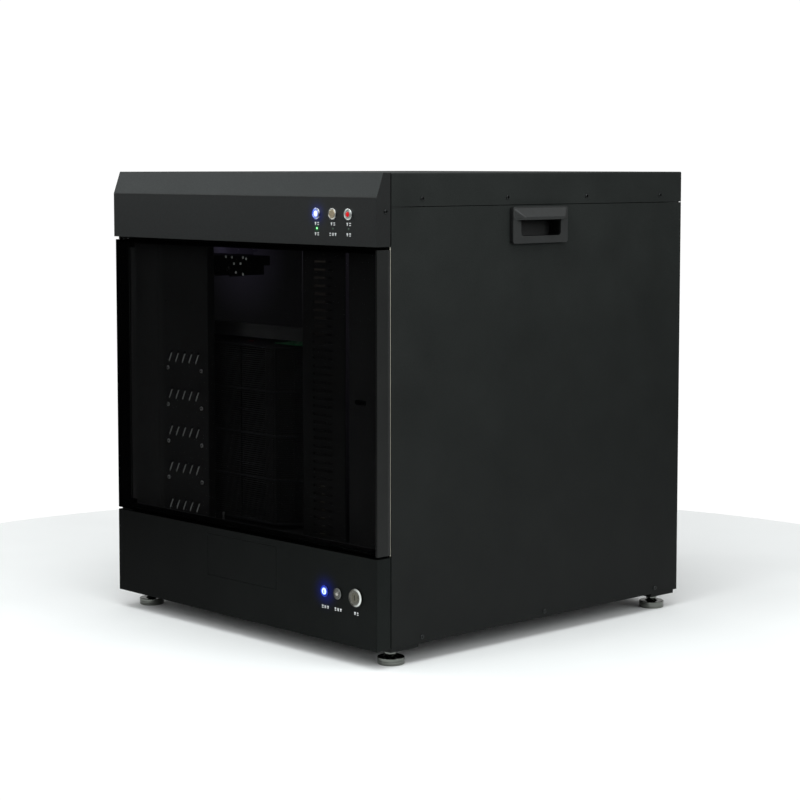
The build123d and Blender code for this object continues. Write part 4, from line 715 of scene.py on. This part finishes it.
# Marks by the controls: groups of plain strokes, each a pair of bars (x0, x1, z0, z1) in a small field
mark_white = plastic("mark_white", (0.72, 0.73, 0.74), rough=0.5)
MARK_PITCH, MARK_RELIEF = 0.0064, 0.00012
STROKES = (((-0.0018, 0.0018, 0.0006, 0.0024), (-0.0018, 0.0018, -0.0024, -0.0010)),
           ((-0.0018, -0.0004, -0.0024, 0.0024), (0.0004, 0.0018, -0.0024, 0.0024)),
           ((-0.0018, 0.0018, 0.0004, 0.0024), (-0.0010, 0.0010, -0.0024, 0.0004)))
MARK_ROWS = (((2, 2, 2), 0.7022, HOOD_BUTTONS), ((2, 3, 2), 0.6857, HOOD_BUTTONS),
             ((3, 3, 2), 0.0850, FASCIA_BUTTONS + [KEY]))
marks = []
for counts, z, controls in MARK_ROWS:
    for count, (x, _) in zip(counts, controls):
        for k in range(count):
            cx = x + MARK_PITCH * (k - (count - 1) / 2)
            for x0, x1, z0, z1 in STROKES[(k + count) % 3]:
                marks.append(slab(cx + x0, cx + x1, FRONT - MARK_RELIEF, FRONT, z + z0, z + z1))
piece("control_marks", *join(marks), mark_white)

# Studio: a pale round floor
scene = bpy.context.scene
scene.view_settings.view_transform = "Standard"
scene.view_settings.look = "None"
FLOOR_RADIUS, FLOOR_SIDES = 1.25, 96
floor_mat = Mat("studio_floor")
floor_mat.feed(floor_mat.ramp(floor_mat.noise(3, 2), [(0.3, (0.93, 0.93, 0.93)), (0.7, (0.96, 0.96, 0.96))]),
               "Base Color")
floor_mat.set(Roughness=0.9)
floor = bpy.data.meshes.new("floor")
turns = [2 * pi * k / FLOOR_SIDES for k in range(FLOOR_SIDES)]
floor.from_pydata([(FLOOR_RADIUS * cos(a), FLOOR_RADIUS * sin(a), 0) for a in turns], [],
                  [tuple(range(FLOOR_SIDES))])
floor.materials.append(floor_mat.m)
floor_object = bpy.data.objects.new("floor", floor)
scene.collection.objects.link(floor_object)

# World: the camera sees white behind the part, and the surfaces see a dark surround that is paler overhead
world = bpy.data.worlds.new("studio")
scene.world = world
world.use_nodes = True
tree = world.node_tree
white = tree.nodes["Background"]
white.inputs["Color"].default_value = (1, 1, 1, 1)
white.inputs["Strength"].default_value = 1.05
surround = tree.nodes.new("ShaderNodeBackground")
surround.inputs["Strength"].default_value = 1.0
direction = tree.nodes.new("ShaderNodeTexCoord")
split = tree.nodes.new("ShaderNodeSeparateXYZ")
height = tree.nodes.new("ShaderNodeMapRange")
height.inputs["From Min"].default_value = -1
ramp = tree.nodes.new("ShaderNodeValToRGB")
for element, position, level in zip(ramp.color_ramp.elements, (0.46, 0.62), (0.02, 0.45)):
    element.position = position
    element.color = (level, level, level, 1)
path = tree.nodes.new("ShaderNodeLightPath")
mix = tree.nodes.new("ShaderNodeMixShader")
for source, target in ((direction.outputs["Generated"], split.inputs[0]),
                       (split.outputs["Z"], height.inputs["Value"]),
                       (height.outputs["Result"], ramp.inputs["Fac"]),
                       (ramp.outputs["Color"], surround.inputs["Color"]),
                       (path.outputs["Is Camera Ray"], mix.inputs["Fac"]),
                       (surround.outputs["Background"], mix.inputs[1]),
                       (white.outputs["Background"], mix.inputs[2]),
                       (mix.outputs["Shader"], tree.nodes["World Output"].inputs["Surface"])):
    tree.links.new(source, target)

# Lights: name, place, what it points at, size, power
COOL = (0.95, 1.0, 1.0)
for name, place, target, size, power in (
        ("top_softbox", (0.6, -0.8, 3.2), (0, 0, 0.4), 3.0, 80),
        ("front_softbox", (0.2, -3.4, 1.9), (0, 0, 0.5), 1.8, 27),
        ("side_softbox", (3.6, 0.6, 1.8), (0, 0, 0.4), 2.0, 48),
        ("hood_softbox", (-2.4, -2.1, 1.75), (0, -0.37, 0.74), 1.4, 15)):
    light = bpy.data.lights.new(name, "AREA")
    light.energy = power
    light.color = COOL
    light.size = size
    o = bpy.data.objects.new(name, light)
    o.location = place
    o.rotation_euler = (Vector(target) - Vector(place)).to_track_quat("-Z", "Y").to_euler()
    scene.collection.objects.link(o)

# Camera: focal length and shift are in pixels of the square picture, tilt and turn in degrees
PICTURE, SENSOR = 800, 36
FOCAL, SHIFT_X, SHIFT_Y = 2118.27, 7.61, -48
TILT, TURN = 5.0643, 46.9611
camera_data = bpy.data.cameras.new("camera")
camera_data.sensor_width = SENSOR
camera_data.lens = FOCAL * SENSOR / PICTURE
camera_data.shift_x = SHIFT_X / PICTURE
camera_data.shift_y = SHIFT_Y / PICTURE
camera = bpy.data.objects.new("camera", camera_data)
camera.location = (2.75854, -2.58779, 0.79605)
camera.rotation_euler = (radians(90 - TILT), 0, radians(TURN))
scene.collection.objects.link(camera)
scene.camera = camera
